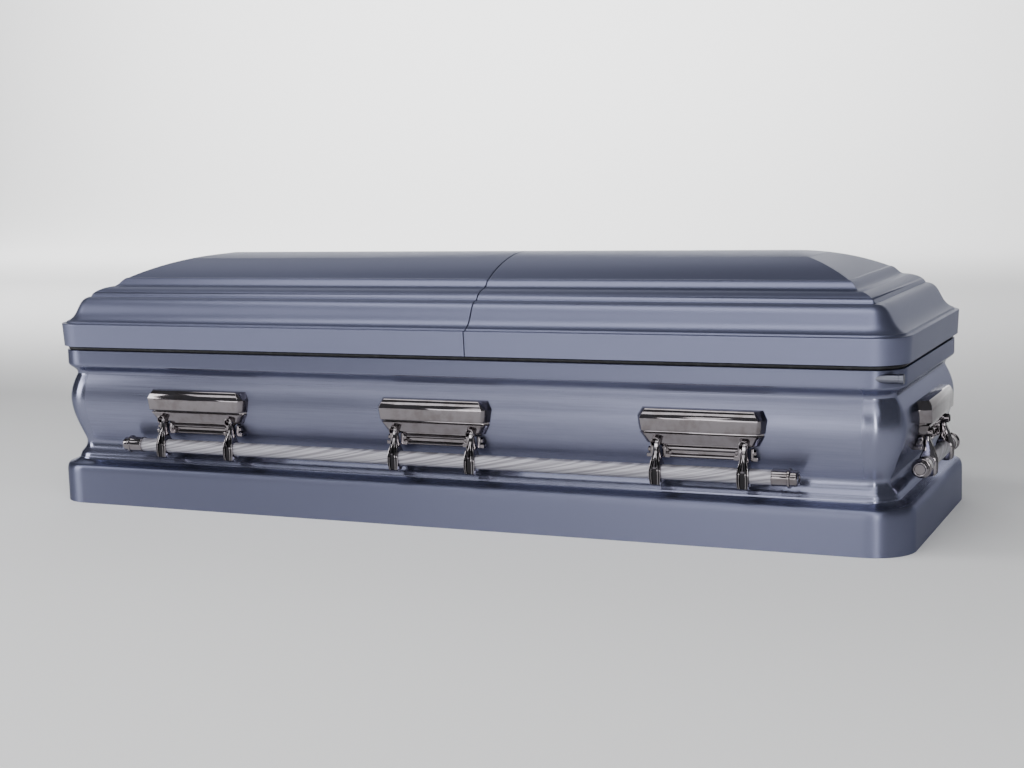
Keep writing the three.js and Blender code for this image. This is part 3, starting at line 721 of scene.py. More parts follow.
@dataclass
class Body:
    """The welded steel shell, hollow and open under the lid, and its gasket."""

    steel: Material
    rubber: Material
    sheet: float = 0.0012
    corner_radius: float = 0.09
    band: float = 0.074
    mouldings: tuple[Stretch, ...] = (
        ((0.01, 0.0965), (0.0, 0.5), (0.2, 0.9), 10),
        ((0.033, 0.108), (0.4, 0.3), (1.0, 0.65217), 8),
        ((0.036, 0.116), (0.0, 0.375), (0.66667, 0.375), 4),
        ((0.0524, 0.147), (0.2, 0.3), (1.0, 0.4), 12),
        ((0.0196, 0.255), (0.0, 0.09), (1.0, 0.59), 20),
        ((0.0395, 0.32), (0.0, 0.55), (1.0, 0.93), 14),
        ((0.0185, 0.347), (0.0, 0.5), (1.0, 0.6), 10),
    )
    flange: float = 0.0185
    rim_round: float = 0.0015
    rim_width: float = 0.026
    gasket_setback: float = 0.003
    gasket_width: float = 0.014
    corner_steps: int = 14
    support: float = 0.004
    half: Vector = field(init=False)
    top: float = field(init=False)

    def __post_init__(self) -> None:
        """Reads the overall size from the solid shell."""
        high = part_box("shell")[1]
        self.half = Vector((high[0], high[1]))
        self.top = high[2]

    def profile(self) -> list[Pair]:
        """Outer section of the wall.

        Returns:
            Points of (inset, z) from the bottom up.
        """
        points = [(0.0, 0.0), (0.0, self.support), (0.0, self.band - self.support), (0.0, self.band)]
        trace(points, self.mouldings)
        edge = self.top - self.rim_round
        heights = (points[-1][1] + self.support, edge - self.support, edge)
        points += [(self.flange, height) for height in heights]
        trace(points, [((self.flange + self.rim_round, self.top), (0.0, 0.5), (0.5, 1.0), 3)])
        return points

    def inset_at(self, height: float) -> float:
        """Inset of the wall at one height.

        Args:
            height: Height above the floor.

        Returns:
            The distance in from the base face.
        """
        points = self.profile()
        for (low_inset, low), (high_inset, high) in zip(points, points[1:]):
            if low <= height <= high and high > low:
                return low_inset + (high_inset - low_inset) * (height - low) / (high - low)
        return self.flange

    def ring(self, inset: float, z: float) -> list[Vector]:
        """Rounded rectangle at one height.

        Args:
            inset: Distance in from the base face.
            z: Height.

        Returns:
            Its points, with a pair close to each end of every straight.
        """
        radius = max(self.corner_radius - inset, 0.0)
        x = self.half.x - inset - radius
        y = self.half.y - inset - radius
        points = []
        for k, (sx, sy) in enumerate(((1, -1), (1, 1), (-1, 1), (-1, -1))):
            start = (k - 1) * QUARTER
            fan = corner(sx * x, sy * y, radius, start, self.corner_steps, z)
            before = Vector((-math.sin(start), math.cos(start), 0.0)) * self.support
            after = Vector((-math.cos(start), -math.sin(start), 0.0)) * self.support
            points += [fan[0] - before, *fan, fan[-1] + after]
        return points

    def build(self) -> None:
        """Makes the shell with both faces of its wall, its rim and its floor, and the gasket."""
        outer = self.profile()
        rim = self.flange + self.rim_width
        inner = [(i, z) for i, z in inwards(outer, self.sheet) if z > self.sheet]
        inner = [(i, z) for i, z in inner if z < self.top - self.sheet]
        path = [*outer, (rim, self.top), (rim, self.top - self.sheet), (inner[-1][0], self.top - self.sheet)]
        path += [*reversed(inner), (inner[0][0], self.sheet)]
        bm = bmesh.new()
        rows = sweep(bm, [self.ring(inset, z) for inset, z in path])
        close_up(bm, rows[0])
        close_up(bm, rows[-1])
        heal(bm)
        Piece("casket_shell", "casket_body", "body", self.steel, ("shell",)).add(bm)
        self.build_gasket()

    def build_gasket(self) -> None:
        """Makes the rubber ring with a rounded outer lip."""
        low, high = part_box("gasket")
        outer = self.flange + self.gasket_setback
        inner = outer + self.gasket_width
        bulb = (high[2] - low[2]) / 2
        middle = (high[2] + low[2]) / 2
        path = [(inner, low[2]), (inner, high[2])]
        path += arc(outer + bulb, middle, bulb, QUARTER, 2 * QUARTER, 8)
        bm = bmesh.new()
        sweep(bm, [self.ring(inset, z) for inset, z in [*path, path[0]]])
        heal(bm)
        Piece("sealing_gasket", "casket_body", "gasket", self.rubber, ("gasket",)).add(bm)


@dataclass
class Lid:
    """The two pressed halves of the lid, hollow, with a lip below and a header at the seam."""

    steel: Material
    sheet: float = 0.0012
    taper: float = 0.003
    corner_radius: float = 0.0815
    ledge: float = 0.0075
    mouldings: tuple[Stretch, ...] = (
        ((0.0125, 0.0045), (0.5, 0.0), (0.8, 0.5), 4),
        ((0.075, 0.0625), (0.55, 0.19), (0.4, 0.97), 26),
        ((0.118, 0.086), (0.12, 0.49), (0.49, 0.89), 14),
        ((0.14, 0.104), (0.43, 0.11), (0.61, 0.78), 10),
        ((0.146, 0.106), (0.2, 0.9), (0.5, 0.0), 5),
    )
    crown_rise: float = 0.0484
    lip: float = 0.025
    header: float = 0.03
    # The rounded edge at the seam: steps away from it, and drops below the face.
    seam_edge: tuple[Pair, ...] = ((0.0, 0.001), (0.0008, 0.0003), (0.0024, 0.0), (0.004, 0.0))
    rim_height: float = 0.0557
    rim_round: float = 0.002
    rim_slant: float = 0.0002
    support: float = 0.004
    corner_steps: int = 12
    crown_steps: int = 22
    half: Vector = field(init=False)
    bottom: float = field(init=False)

    def __post_init__(self) -> None:
        """Reads the overall size from the solid halves."""
        foot_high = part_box("lid_foot")[1]
        self.half = Vector((foot_high[0], foot_high[1]))
        self.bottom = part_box("lid_foot")[0][2]

    def profile(self) -> list[Pair]:
        """Outer section from the rim's lower edge to the ridge.

        Returns:
            Points of (inset from the rim, z).
        """
        edge, support = self.rim_round, self.support
        points = [(self.taper, -self.rim_height), (self.taper * 0.95, support - self.rim_height)]
        points += [(self.rim_slant, -edge - support), (0.0, -edge)]
        trace(points, [((edge, 0.0), (0.0, 0.6), (0.6, 1.0), 4)])
        points.append((self.ledge, 0.0))
        trace(points, self.mouldings)
        foot = points[-1]
        span = self.half.y - foot[0]
        radius = (span**2 + self.crown_rise**2) / (2 * self.crown_rise)
        reach = math.asin(span / radius)
        for i in range(1, self.crown_steps + 1):
            angle = reach * (1 - i / self.crown_steps)
            drop = radius * (1 - math.cos(angle))
            points.append((self.half.y - radius * math.sin(angle), foot[1] + self.crown_rise - drop))
        rim_top = self.bottom + self.rim_height
        return [(inset, rim_top + rise) for inset, rise in points]

    def ring(self, end: LidEnd, cut: float, spots: Profile) -> list[Vector]:
        """Half of a rounded rectangle, open at the seam.

        Args:
            end: Which half.
            cut: X of the seam edge.
            spots: Insets from the rim and heights, at the steps of the seam's edge.

        Returns:
            Its points from one seam edge to the other.
        """
        inset, z = spots[-1]
        radius = max(self.corner_radius - inset, 0.0)
        x = self.half.x - inset - radius
        y = self.half.y - inset - radius
        edge = self.half.y - inset
        support = self.support if radius else 0.0
        cut *= end.sign
        line = zip(self.seam_edge, spots)
        seam = [Vector((cut + step, i - self.half.y, h)) for (step, _), (i, h) in line]
        points = [*seam, Vector((x - support, -edge, z))]
        points += corner(x, -y, radius, -QUARTER, self.corner_steps, z)
        side = y - min(support, y)
        points += [Vector((x + radius, -side, z)), Vector((x + radius, side, z))]
        points += corner(x, y, radius, 0.0, self.corner_steps, z)
        points += [Vector((x - support, edge, z)), *[Vector((p.x, -p.y, p.z)) for p in reversed(seam)]]
        return [Vector((p.x * end.sign, p.y, p.z)) for p in points]

    def build(self) -> None:
        """Makes both halves."""
        for end in LidEnd:
            self.build_half(end)

    def build_half(self, end: LidEnd) -> None:
        """Makes one half: the outer and inner face, the lip and the header.

        Args:
            end: Which half.
        """
        low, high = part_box(f"lid_{end.label}")
        seam = low[0] if end is LidEnd.FOOT else high[0]
        outer = self.profile()
        inner = inwards(outer, self.sheet)
        inner[0] = (inner[0][0], self.bottom + self.sheet)
        inner[-1] = (self.half.y, inner[-1][1])
        lip = self.taper + self.lip
        levels = [inwards(outer, drop) for _, drop in self.seam_edge]
        for level in levels:
            level[0] = (level[0][0], outer[0][1])
            level[-1] = (self.half.y, level[-1][1])
        path = [*reversed(inner), (lip, self.bottom + self.sheet), (lip, self.bottom)]
        spots = [[spot] * len(self.seam_edge) for spot in path] + list(zip(*levels))
        bm = bmesh.new()
        rows = sweep(bm, [self.ring(end, seam, line) for line in spots], closed=False)
        self.close_edge(bm, rows, len(outer))
        heal(bm)
        self.add_header(bm, inner, seam, seam + end.sign * self.sheet)
        Piece(f"lid_{end.label}_shell", f"lid_{end.label}", "lid", self.steel, (f"lid_{end.label}",)).add(bm)

    def close_edge(self, bm: BMesh, rows: list, count: int) -> None:
        """Closes the cut edge of the sheet at the seam.

        Args:
            bm: The mesh.
            rows: Rows of the inner face, the lip and the outer face.
            count: Number of rows in each face.
        """
        for column in (0, -1):
            inner = [row[column] for row in rows[:count]][::-1]
            outer = [row[column] for row in rows[-count:]]
            for i in range(count - 1):
                bmesh.ops.contextual_create(bm, geom=[outer[i], outer[i + 1], inner[i + 1], inner[i]])
            lip = [rows[count][column], rows[count + 1][column], outer[0], inner[0]]
            bmesh.ops.contextual_create(bm, geom=lip)

    def add_header(self, bm: BMesh, inner: Profile, front: float, back: float) -> None:
        """Adds the flat arch that stiffens the lid at the seam.

        Args:
            bm: The mesh.
            inner: Profile of the inner face, from the bottom up.
            front: X of its face at the seam.
            back: X of its other face.
        """
        rise = inner[-1][1] - self.bottom
        up = (rise - self.header) / rise
        across = (self.half.y - self.header) / self.half.y
        left = [(inset - self.half.y, z) for inset, z in inner]
        arch = left + [(-y, z) for y, z in reversed(left[:-1])]
        opening = [(y * across, self.bottom + (z - self.bottom) * up) for y, z in arch]
        spots = ((arch, front), (opening, front), (opening, back), (arch, back), (arch, front))
        part = bmesh.new()
        rows = sweep(part, [[Vector((x, y, z)) for y, z in line] for line, x in spots], closed=False)
        for column in (0, -1):
            bmesh.ops.contextual_create(part, geom=[row[column] for row in rows[:4]])
        join(bm, part)


@dataclass
class SwingHardware:
    """Chrome lugs and swing arms, and the bar with its end caps, of one side.

    It is drawn on a straight side: X along it, -Y outwards from the base face, Z up.
    """

    side: Side
    body: Body
    chrome: Material
    arm_chrome: Material
    bar_steel: Material
    gap: float = 0.0003
    # Rows of the housing's front: out, z, half width.
    front: tuple[Triple, ...] = (
        (-0.0121, 0.215, 0.110),
        (-0.0018, 0.2368, 0.123),
        (-0.0024, 0.2378, 0.1228),
        (-0.0105, 0.2384, 0.122),
        (-0.0105, 0.243, 0.122),
        (0.0038, 0.2434, 0.1241),
        (0.005, 0.2444, 0.1246),
        (0.005, 0.272, 0.129),
        (0.003, 0.281, 0.124),
        (-0.0008, 0.2885, 0.12),
        (-0.003, 0.2908, 0.1185),
    )
    row_spacing: float = 0.006
    flare: float = 0.014
    flare_middle: float = 0.6
    facet_edge: float = 0.0006
    foot_half: float = 0.088
    foot_out: float = -0.0196
    rails: tuple[Pair, ...] = ((0.184, 0.192), (0.199, 0.2095))
    groove: Pair = (0.1925, 0.1985)
    groove_depth: float = 0.01
    foot_lean: float = 0.005
    foot_back: tuple[float, ...] = (0.2165, 0.21, 0.203, 0.197, 0.19, 0.184)
    arm_spread: float = 0.096
    pivot_out: float = -0.0105
    pivot_z: float = 0.219
    eye_radius: float = 0.0056
    eye_half: float = 0.0055
    eye_round: float = 0.002
    neck_half: float = 0.0074
    hood_radius: float = 0.0108
    hood_bore: float = 0.0086
    hood_mouth: float = 0.0024
    hood_round: float = 0.0018
    hood_edge: float = 0.0003
    room_reach: float = 0.02
    neck_low: float = 0.203
    ear_start: float = 0.0105
    ear_foot: float = 0.184
    # Reach along the lug, out, top and bevel.
    ears: tuple[tuple[float, ...], ...] = (
        (0.0155, -0.0172, 0.1925, 0.0022),
        (0.007, -0.0166, 0.2105, 0.0018),
    )
    # Sections of the nuts and of the knob in front of the pivot: radius, distance.
    nut: tuple[Pair, ...] = (
        (0.0, 0.0), (0.0058, 0.0), (0.0062, 0.0006),
        (0.0062, 0.0044), (0.0052, 0.0056), (0.0, 0.006),
    )
    nut_place: Triple = (0.0175, 0.0226, 0.2005)
    knob: tuple[Pair, ...] = (
        (0.0, -0.012), (0.0046, -0.012), (0.0046, -0.0056),
        (0.004, -0.0044), (0.0024, -0.0036), (0.0, -0.0033),
    )
    pin_radius: float = 0.0026
    # Rows up the arm: z, half width, back, out, half width of the groove and its depth.
    arm_rows: tuple[tuple[float, ...], ...] = (
        (0.1255, 0.0092, -0.012, 0.0026, 0.0042, 0.0002),
        (0.1268, 0.0104, -0.0145, 0.006, 0.0046, 0.0002),
        (0.1298, 0.0114, -0.0175, 0.0098, 0.005, 0.0006),
        (0.1306, 0.0116, -0.018, 0.01, 0.0052, 0.0024),
        (0.134, 0.0122, -0.0215, 0.0106, 0.0058, 0.003),
        (0.140, 0.0132, -0.0245, 0.0112, 0.0062, 0.0034),
        (0.148, 0.0138, -0.0268, 0.0114, 0.0064, 0.0036),
        (0.155, 0.0138, -0.0274, 0.0113, 0.0062, 0.0035),
        (0.163, 0.0132, -0.0268, 0.0108, 0.0055, 0.0031),
        (0.170, 0.0122, -0.0245, 0.0088, 0.0045, 0.0026),
        (0.178, 0.0108, -0.0205, 0.0062, 0.0031, 0.002),
        (0.186, 0.0092, -0.0178, 0.0034, 0.0016, 0.001),
        (0.192, 0.0078, -0.0172, 0.0014, 0.0004, 0.0001),
        (0.1985, 0.0064, -0.017, -0.0018, 0.0003, 0.0),
        (0.2045, 0.0057, -0.0168, -0.0045, 0.0003, 0.0),
        (0.211, 0.0056, -0.0165, -0.0048, 0.0003, 0.0),
        (0.216, 0.0052, -0.016, -0.0056, 0.0003, 0.0),
    )
    # Points of each row that lie in the groove, and the heights between which shade is painted into it.
    sunk: tuple[int, ...] = (0, 1, 2, 5, 6)
    painted_shade_heights: Pair = (0.128, 0.211)
    bar_radius: float = 0.015875
    bar_wall: float = 0.0016
    bar_out: float = -0.009
    bar_z: float = 0.1545
    bar_half_long: float = 0.843
    bar_half_short: float = 0.188
    bar_edge: float = 0.0004
    cap_overlap: float = 0.034
    cap_length: float = 0.055
    # Section of a cap: radius and distance from its inner end.
    cap_profile: tuple[Pair, ...] = (
        (0.0, 0.0342), (0.0163, 0.034), (0.0163, 0.0), (0.0178, 0.0), (0.0184, 0.0005), (0.0186, 0.0012),
        (0.0184, 0.002), (0.018, 0.0025), (0.018, 0.0034), (0.018, 0.0318), (0.0182, 0.0328),
        (0.0204, 0.0338), (0.021, 0.0344), (0.0211, 0.0352), (0.0211, 0.0376), (0.0209, 0.0384),
        (0.0203, 0.039), (0.0178, 0.0396), (0.0173, 0.0403), (0.0172, 0.0415), (0.0172, 0.0505),
        (0.0169, 0.0518), (0.0152, 0.0543), (0.0143, 0.0549), (0.013, 0.055), (0.0119, 0.0547),
        (0.0112, 0.0538), (0.0106, 0.053), (0.0, 0.0527),
    )
    outward: Matrix = field(init=False)
    place: Matrix = field(init=False)
    bar_half: float = field(init=False)

    def __post_init__(self) -> None:
        """Works out the turns and the move of this side."""
        self.outward = Matrix.Rotation(-QUARTER, 4, "Z")
        along_front = self.side in (Side.FRONT, Side.BACK)
        distance = self.body.half.y if along_front else self.body.half.x
        self.place = Matrix.Rotation(self.side.turn, 4, "Z") @ Matrix.Translation((0.0, -distance, 0.0))
        self.bar_half = self.bar_half_long if along_front else self.bar_half_short

    def build(self) -> None:
        """Makes every piece of the side."""
        for i, x in enumerate(self.side.lugs):
            self.add_piece(f"lug_{self.side.label}_{i + 1}", "casket_body", x, self.lug(), self.chrome)
            for j, spread in enumerate((-self.arm_spread, self.arm_spread)):
                name = f"arm_{self.side.label}_{2 * i + j + 1}"
                self.add_piece(name, f"bar_{self.side.label}", x + spread, self.arm(), self.arm_chrome)
        self.build_bar()

    def add_piece(self, node: str, body: str, x: float, bm: BMesh, plating: Material) -> None:
        """Adds one chrome piece, drawn about X = 0, in place of its solid."""
        bm.transform(self.place @ Matrix.Translation((x, 0.0, 0.0)))
        Piece(f"{node}_chrome", body, "chrome", plating, (node,), math.radians(22)).add(bm)

    def lug(self) -> BMesh:
        """One lug: the faceted housing, the foot with its rails and the pivots.

        Returns:
            The mesh about X = 0.
        """
        housing = bmesh.new()
        rows = []
        for out, z, half in finer(self.front, self.row_spacing):
            back = self.gap - self.body.inset_at(z)
            middle = (out + back) / 2
            wide, mid = half + self.flare, half + self.flare * self.flare_middle
            right = [(half, out), (mid, middle), (wide, back)]
            ring = [(-half, out), *right, (-wide, back), (-mid, middle)]
            rows.append([Vector((x, -o, z)) for x, o in ring])
        rings = sweep(housing, rows)
        close_up(housing, rings[0])
        close_up(housing, rings[-1])
        bmesh.ops.recalc_face_normals(housing, faces=housing.faces)
        soften(housing, self.facet_edge)
        spreads = (-self.arm_spread, self.arm_spread)
        for spread in spreads:
            housing = carve(carve(housing, self.eye_room(spread)), self.neck_room(spread))
        self.add_foot(housing)
        for spread in spreads:
            self.add_pivot(housing, spread)
        return housing

    def eye_room(self, x: float) -> BMesh:
        """Round room for an arm's eye, open to the front.

        Args:
            x: Place along the lug.

        Returns:
            The room as a closed mesh.
        """
        room = bmesh.new()
        depth = self.pivot_out - self.hood_radius
        bore, reach = self.hood_bore, self.room_reach
        section = [(0.0, depth), (bore, depth), (bore, reach), (0.0, reach)]
        rod(room, section, Matrix.Translation((x, 0.0, self.pivot_z)) @ self.outward)
        return room

    def neck_room(self, x: float) -> BMesh:
        """Room for an arm's neck, open downwards.

        Args:
            x: Place along the lug.

        Returns:
            The room as a closed mesh.
        """
        low = (x - self.neck_half, -self.room_reach, self.neck_low)
        high = (x + self.neck_half, self.hood_radius - self.pivot_out, self.pivot_z)
        return cuboid(low, high)

    def add_foot(self, bm: BMesh) -> None:
        """Adds the two polished rails under the housing and the groove between them.

        Args:
            bm: The lug's mesh.
        """
        out = self.foot_out
        rails = []
        for low, high in self.rails:
            radius = (high - low) / 2
            rails.append(arc(out - radius, low + radius, radius, -QUARTER, 2 * QUARTER, 8))
        groove = [(out - self.groove_depth, z) for z in self.groove]
        back = [(self.gap - self.body.inset_at(z), z) for z in self.foot_back]
        outline = [*rails[0], *groove, *rails[1], (out - self.foot_lean, self.foot_back[0]), *back]
        part = bmesh.new()
        prism(part, outline, -self.foot_half, self.foot_half)
        join(bm, part)

    def add_pivot(self, bm: BMesh, x: float) -> None:
        """Adds the hood, the pin, the ears and the nuts round one arm.

        Args:
            bm: The lug's mesh.
            x: Place of the arm along the lug.
        """
        radius, bore, mouth = self.hood_radius, self.hood_bore, self.hood_mouth
        back = self.gap - min(self.body.inset_at(self.pivot_z + step) for step in (-radius, 0.0, radius))
        edge = self.hood_round
        section = [(bore, back), (radius, back), *arc(radius - edge, mouth - edge, edge, 0.0, QUARTER, 6)]
        section += [(bore + self.hood_edge, mouth), (bore, mouth - self.hood_edge), (bore, back)]
        hood = bmesh.new()
        rod(hood, section, Matrix.Translation((x, 0.0, self.pivot_z)) @ self.outward)
        join(bm, carve(hood, self.neck_room(x)))
        for sign in (-1, 1):
            for reach, out, top, edge in self.ears:
                heights = [top + (self.ear_foot - top) * i / 6 for i in range(7)]
                outline = [(out, self.ear_foot), (out, top)]
                outline += [(self.gap - self.body.inset_at(z), z) for z in heights]
                ends = sorted((x + sign * self.ear_start, x + sign * (self.ear_start + reach)))
                part = bmesh.new()
                prism(part, outline, *ends)
                heal(part)
                soften(part, edge)
                join(bm, part)
            aside, *level = self.nut_place
            flip = Matrix.Scale(sign, 4, (1, 0, 0))
            rod(bm, self.nut, Matrix.Translation((x + sign * aside, *level)) @ flip, 6)
        pin = [(0.0, -radius), (self.pin_radius, -radius), (self.pin_radius, radius), (0.0, radius)]
        rod(bm, pin, Matrix.Translation((x, -self.pivot_out, self.pivot_z)), 16)

    def arm(self) -> BMesh:
        """One swing arm: a drop-shaped shank with a raised rim, hanging from a round eye.

        Returns:
            The mesh about X = 0.
        """
        shank = bmesh.new()
        painted_shade_mask = shank.verts.layers.float.new(SHADE_PAINT_ATTRIBUTE)
        rows = []
        for z, half, back, out, groove, depth in self.arm_rows:
            edge = half - 0.0024
            right = [
                (groove * 0.45, out - depth),
                (groove * 0.85, out - depth * 0.9),
                (groove, out - depth * 0.4),
                (groove + 0.0005, out),
                (groove + 0.0013, out - 0.0001),
                (groove + 0.0019, out - min(depth, 0.0008)),
                (max(edge, groove + 0.0024), out - min(depth, 0.0009)),
                (half - 0.0011, out - 0.0014),
                (half - 0.0003, out - 0.0026),
                (half, out - 0.0042),
                (half, back + 0.0045),
                (half - 0.0006, back + 0.002),
                (half - 0.0022, back + 0.0005),
                (half * 0.45, back),
            ]
            ring = [*right, *[(-x, o) for x, o in reversed(right)]]
            rows.append([Vector((x, -o, z)) for x, o in ring])
        rings = sweep(shank, rows)
        # Marks the groove's points between the set heights, where the chrome paints shade.
        for ring, (z, *_) in zip(rings, self.arm_rows):
            for i in self.sunk:
                shade = 1.0 if self.painted_shade_heights[0] < z < self.painted_shade_heights[1] else 0.0
                ring[i][painted_shade_mask] = ring[len(ring) - 1 - i][painted_shade_mask] = shade
        close_up(shank, rings[0])
        close_up(shank, rings[-1])
        half, radius, edge = self.eye_half, self.eye_radius, self.eye_round
        eye = [(0.0, -half), *arc(radius - edge, edge - half, edge, -QUARTER, QUARTER, 5)]
        eye += [(r, -x) for r, x in reversed(eye)]
        heal(shank)
        rod(shank, eye, Matrix.Translation((0.0, -self.pivot_out, self.pivot_z)), 40)
        rod(shank, self.knob, Matrix.Translation((0.0, 0.0, self.pivot_z)) @ self.outward, 32)
        return shank

    def build_bar(self) -> None:
        """Makes the tube and its two end caps."""
        body = f"bar_{self.side.label}"
        reach = self.bar_half - self.cap_length + self.cap_overlap
        profile = sleeve(self.bar_radius - self.bar_wall, self.bar_radius, -reach, reach, self.bar_edge)
        axis = Matrix.Translation((0.0, -self.bar_out, self.bar_z))
        tube = bmesh.new()
        rod(tube, profile, self.place @ axis, 64)
        Piece(f"{body}_tube", body, "bar", self.bar_steel, (body,)).add(tube)
        for number, sign in ((1, -1), (2, 1)):
            cap = bmesh.new()
            start = Matrix.Translation((sign * (self.bar_half - self.cap_length), 0.0, 0.0))
            flip = Matrix.Rotation((1 - sign) * QUARTER, 4, "Z")
            rod(cap, self.cap_profile, self.place @ axis @ start @ flip, 64)
            node = f"bar_cap_{self.side.label}_{number}"
            Piece(f"{node}_chrome", body, "chrome", self.chrome, (node,), math.radians(35)).add(cap)


@dataclass
class LidHinge:
    """Long hinge behind one half of the lid: two leaves, their knuckles and a pin."""

    end: LidEnd
    steel: Material
    sheet: float = 0.0015
    knuckle: float = 0.004
    pin: float = 0.0016
    play: float = 0.0004
    leaf_height: float = 0.024
    edge: float = 0.0004

    def build(self) -> None:
        """Makes the leaves and the pin."""
        low, high = (Vector(corner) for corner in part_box(f"hinge_pin_{self.end.label}"))
        middle = (low + high) / 2
        axis = Matrix.Translation(middle)
        half = (high.x - low.x) / 2
        third = 2 * half / 3
        body_low = Vector(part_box(f"hinge_body_leaf_{self.end.label}")[0])
        lid_low = Vector(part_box(f"hinge_lid_leaf_{self.end.label}")[0])
        top = middle.z - self.knuckle + self.sheet
        fixed = bmesh.new()
        leaf_low = (low.x, body_low.y, top - self.leaf_height)
        self.add_plate(fixed, leaf_low, (high.x, body_low.y + self.sheet, top))
        bore, radius = self.pin + self.play / 2, self.knuckle
        for sign in (-1, 1):
            ends = sorted((sign * third / 2 + sign * self.play, sign * half))
            left, right = (end + middle.x for end in ends)
            self.add_plate(fixed, (left, body_low.y, top - self.sheet), (right, middle.y, top))
            rod(fixed, sleeve(bore, radius, *ends, self.edge), axis, 24)
        self.add_piece(fixed, "hinge_body_leaf", "casket_body")
        moving = bmesh.new()
        leaf_high = (high.x, lid_low.y + self.sheet, middle.z + self.leaf_height)
        self.add_plate(moving, (low.x, lid_low.y, middle.z), leaf_high)
        reach = third / 2 - self.play
        rod(moving, sleeve(bore, radius, -reach, reach, self.edge), axis, 24)
        self.add_piece(moving, "hinge_lid_leaf", f"lid_{self.end.label}")
        spine = bmesh.new()
        rod(spine, [(0.0, -half), (self.pin, -half), (self.pin, half), (0.0, half)], axis, 16)
        self.add_piece(spine, "hinge_pin", "casket_body")

    def add_plate(self, bm: BMesh, low: Sequence[float], high: Sequence[float]) -> None:
        """Adds a plate with bevelled edges.

        Args:
            bm: The mesh to add to.
            low: Lowest corner.
            high: Highest corner.
        """
        part = cuboid(low, high)
        soften(part, self.edge)
        join(bm, part)

    def add_piece(self, bm: BMesh, node: str, body: str) -> None:
        """Adds one part of the hinge in place of its solid."""
        name = f"{node}_{self.end.label}"
        Piece(f"{name}_steel", body, "hinge", self.steel, (name,)).add(bm)


@dataclass
class MemorialTube:
    """Small sealed tube for a record, with a screw cap, at the front foot corner."""

    steel: Material
    edge: float = 0.0006
    wall: float = 0.0015
    plug: float = 0.0082
    plug_length: float = 0.006
    dish: float = 0.0004

    def build(self) -> None:
        """Makes the tube and its cap."""
        for node, name in (("memorial_tube", "record_tube"), ("memorial_tube_cap", "record_tube_cap")):
            low, high = (Vector(corner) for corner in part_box(node))
            middle = (low + high) / 2
            radius = (high.y - low.y) / 2
            half = (high.x - low.x) / 2
            edge, wall, plug = self.edge, self.wall, self.plug_length - half
            if node == "memorial_tube":
                closed = [(radius - wall, wall - half), (0.0, wall - half)]
                profile = [(0.0, -half), *sleeve(radius - wall, radius, -half, half, edge)[1:-1], *closed]
            else:
                dished = half - self.dish
                profile = [(0.0, -half), (self.plug, -half), (self.plug, plug), (radius - edge, plug)]
                profile += [(radius, plug + edge), (radius, half - edge), (radius - edge, half)]
                profile += [(radius * 0.6, half), (radius * 0.55, dished), (0.0, dished)]
            bm = bmesh.new()
            rod(bm, profile, Matrix.Translation(middle))
            Piece(name, "casket_body", "chrome", self.steel, (node,), math.radians(35)).add(bm)


@dataclass(frozen=True)
class Softbox:
    """A soft rectangular light."""

    name: str
    place: Triple
    aim: Triple
    size: Pair
    watts: float

    def build(self) -> None:
        """Adds the light to the scene."""
        data = bpy.data.lights.new(self.name, "AREA")
        data.shape = "RECTANGLE"
        data.size, data.size_y = self.size
        data.energy = self.watts
        light = bpy.data.objects.new(self.name, data)
        light.location = self.place
        light.rotation_euler = (Vector(self.aim) - Vector(self.place)).to_track_quat("-Z", "Y").to_euler()
        bpy.context.scene.collection.objects.link(light)


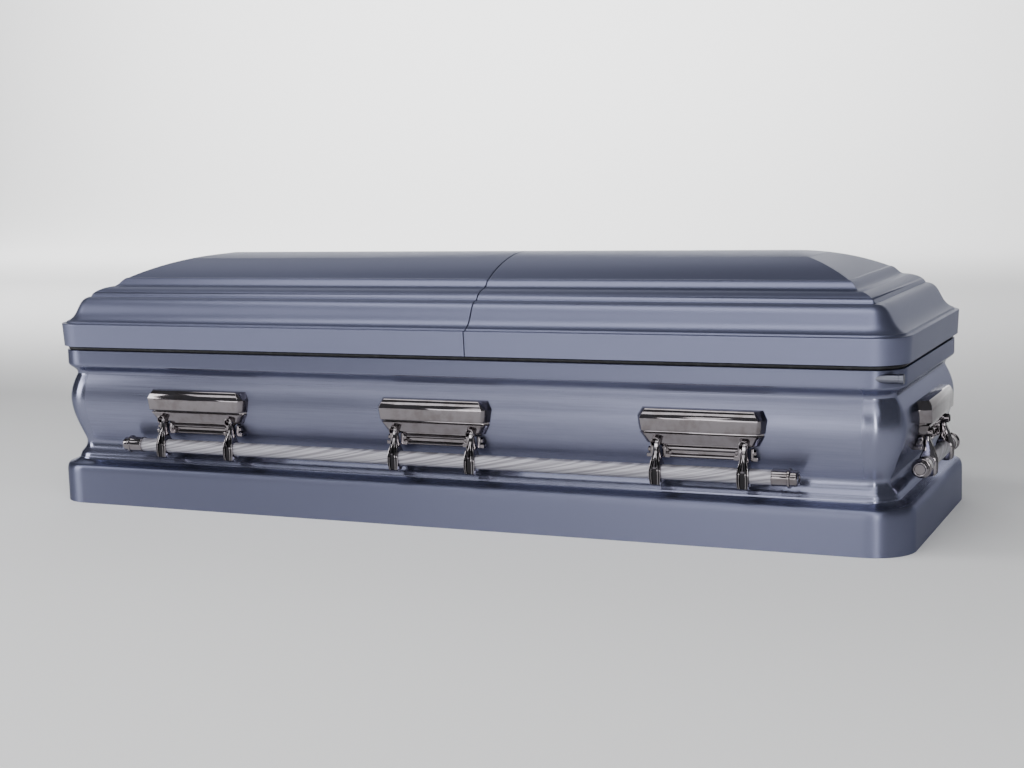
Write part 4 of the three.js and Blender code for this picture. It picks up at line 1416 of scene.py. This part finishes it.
@dataclass
class Studio:
    """Pale floor and backdrop, soft lights and the camera."""

    white: Colour = (0.9, 0.9, 0.9, 1.0)
    reach: float = 14.0
    surround: float = 0.15
    floor_glow: float = 0.08
    softboxes: tuple[Softbox, ...] = (
        Softbox("overhead", (-0.3, -1.2, 3.5), (-0.1, -0.4, 0.3), (4.8, 1.3), 60.0),
        Softbox("left_side", (-4.8, -2.6, 1.5), (-0.8, -0.3, 0.3), (1.8, 2.2), 95.0),
        Softbox("front_right", (2.7, -4.6, 1.3), (1.0, -0.3, 0.3), (0.45, 2.4), 40.0),
        Softbox("front_middle", (-0.7, -5.6, 1.5), (0.5, 0.0, 0.3), (1.2, 1.8), 18.0),
        Softbox("front_low", (0.3, -5.2, 0.5), (0.0, 0.0, 0.1), (6.0, 0.6), 50.0),
        Softbox("floor_front", (0.0, -3.0, 2.4), (0.0, -2.4, 0.0), (6.0, 1.2), 60.0),
        Softbox("rear_high", (-6.0, 9.0, 7.5), (-0.6, 0.0, 0.5), (9.0, 4.0), 120.0),
        Softbox("backdrop_wash", (-6.0, 8.0, 4.0), (-6.0, 13.0, 1.5), (12.0, 1.0), 900.0),
        Softbox("floor_wash", (-6.0, 3.0, 4.0), (-6.0, 12.0, 0.0), (11.0, 2.0), 900.0),
    )
    camera_place: Triple = (1.732896, -3.70135, 0.839958)
    yaw: float = 0.42775
    pitch: float = 0.13683
    roll: float = -0.03055
    focal_pixels: float = 1698.98
    frame_pixels: float = 1024.0

    def build(self) -> None:
        """Makes the whole set."""
        self.build_camera()
        self.build_floor()
        self.build_lights()

    def build_camera(self) -> None:
        """Places the camera at the photograph's viewpoint."""
        data = bpy.data.cameras.new("view")
        data.sensor_fit = "HORIZONTAL"
        data.sensor_width = 36.0
        data.lens = self.focal_pixels / self.frame_pixels * data.sensor_width
        data.clip_end = 200.0
        camera = bpy.data.objects.new("view", data)
        spin = Matrix.Rotation(self.yaw, 4, "Z")
        tilt = Matrix.Rotation(QUARTER - self.pitch, 4, "X")
        bank = Matrix.Rotation(self.roll, 4, "Z")
        camera.matrix_world = Matrix.Translation(self.camera_place) @ spin @ tilt @ bank
        bpy.context.scene.collection.objects.link(camera)
        bpy.context.scene.camera = camera

    def build_floor(self) -> None:
        """Makes a pale floor that sweeps up into a backdrop."""
        bm = bmesh.new()
        path = [(-self.reach, 0.0), (9.0, 0.0)]
        trace(path, [((13.0, 3.0), (0.75, 0.0), (1.0, 0.2), 16)])
        path.append((13.0, 5.0))
        rows = [[Vector((x, y, z)) for y, z in path] for x in (-2 * self.reach, 2 * self.reach)]
        sweep(bm, rows, closed=False)
        bmesh.ops.recalc_face_normals(bm, faces=bm.faces)
        for face in bm.faces:
            face.smooth = True
        graph = Graph("pale_floor")
        sockets = {"Base Color": self.white, "Roughness": 0.9}
        sockets |= {"Emission Color": self.white, "Emission Strength": self.floor_glow}
        floor = linked("floor", bm)
        floor.data.materials.append(graph.finish(sockets))

    def build_lights(self) -> None:
        """Adds the soft lights and a dim even surround."""
        world = bpy.data.worlds.new("surround")
        world.use_nodes = True
        background = world.node_tree.nodes["Background"]
        background.inputs["Color"].default_value = (0.9, 0.93, 1.0, 1.0)
        background.inputs["Strength"].default_value = self.surround
        bpy.context.scene.world = world
        for softbox in self.softboxes:
            softbox.build()


def main() -> None:
    """Builds every sub-assembly in order and reports each piece."""
    logging.basicConfig(level=logging.INFO, format="%(name)s %(message)s")
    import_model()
    Studio().build()
    body_steel = BODY_STEEL.build()
    lid_steel = LID_STEEL.build()
    chrome = Chrome().build()
    arm_chrome = ARM_CHROME.build()
    bar_steel = BandedSteel().build()
    body = Body(body_steel, Rubber().build())
    body.build()
    Lid(lid_steel).build()
    hinge_steel = HINGE_STEEL.build()
    for end in LidEnd:
        LidHinge(end, hinge_steel).build()
    for side in Side:
        SwingHardware(side, body, chrome, arm_chrome, bar_steel).build()
    MemorialTube(TUBE_STEEL.build()).build()


if __name__ == "__main__":
    main()
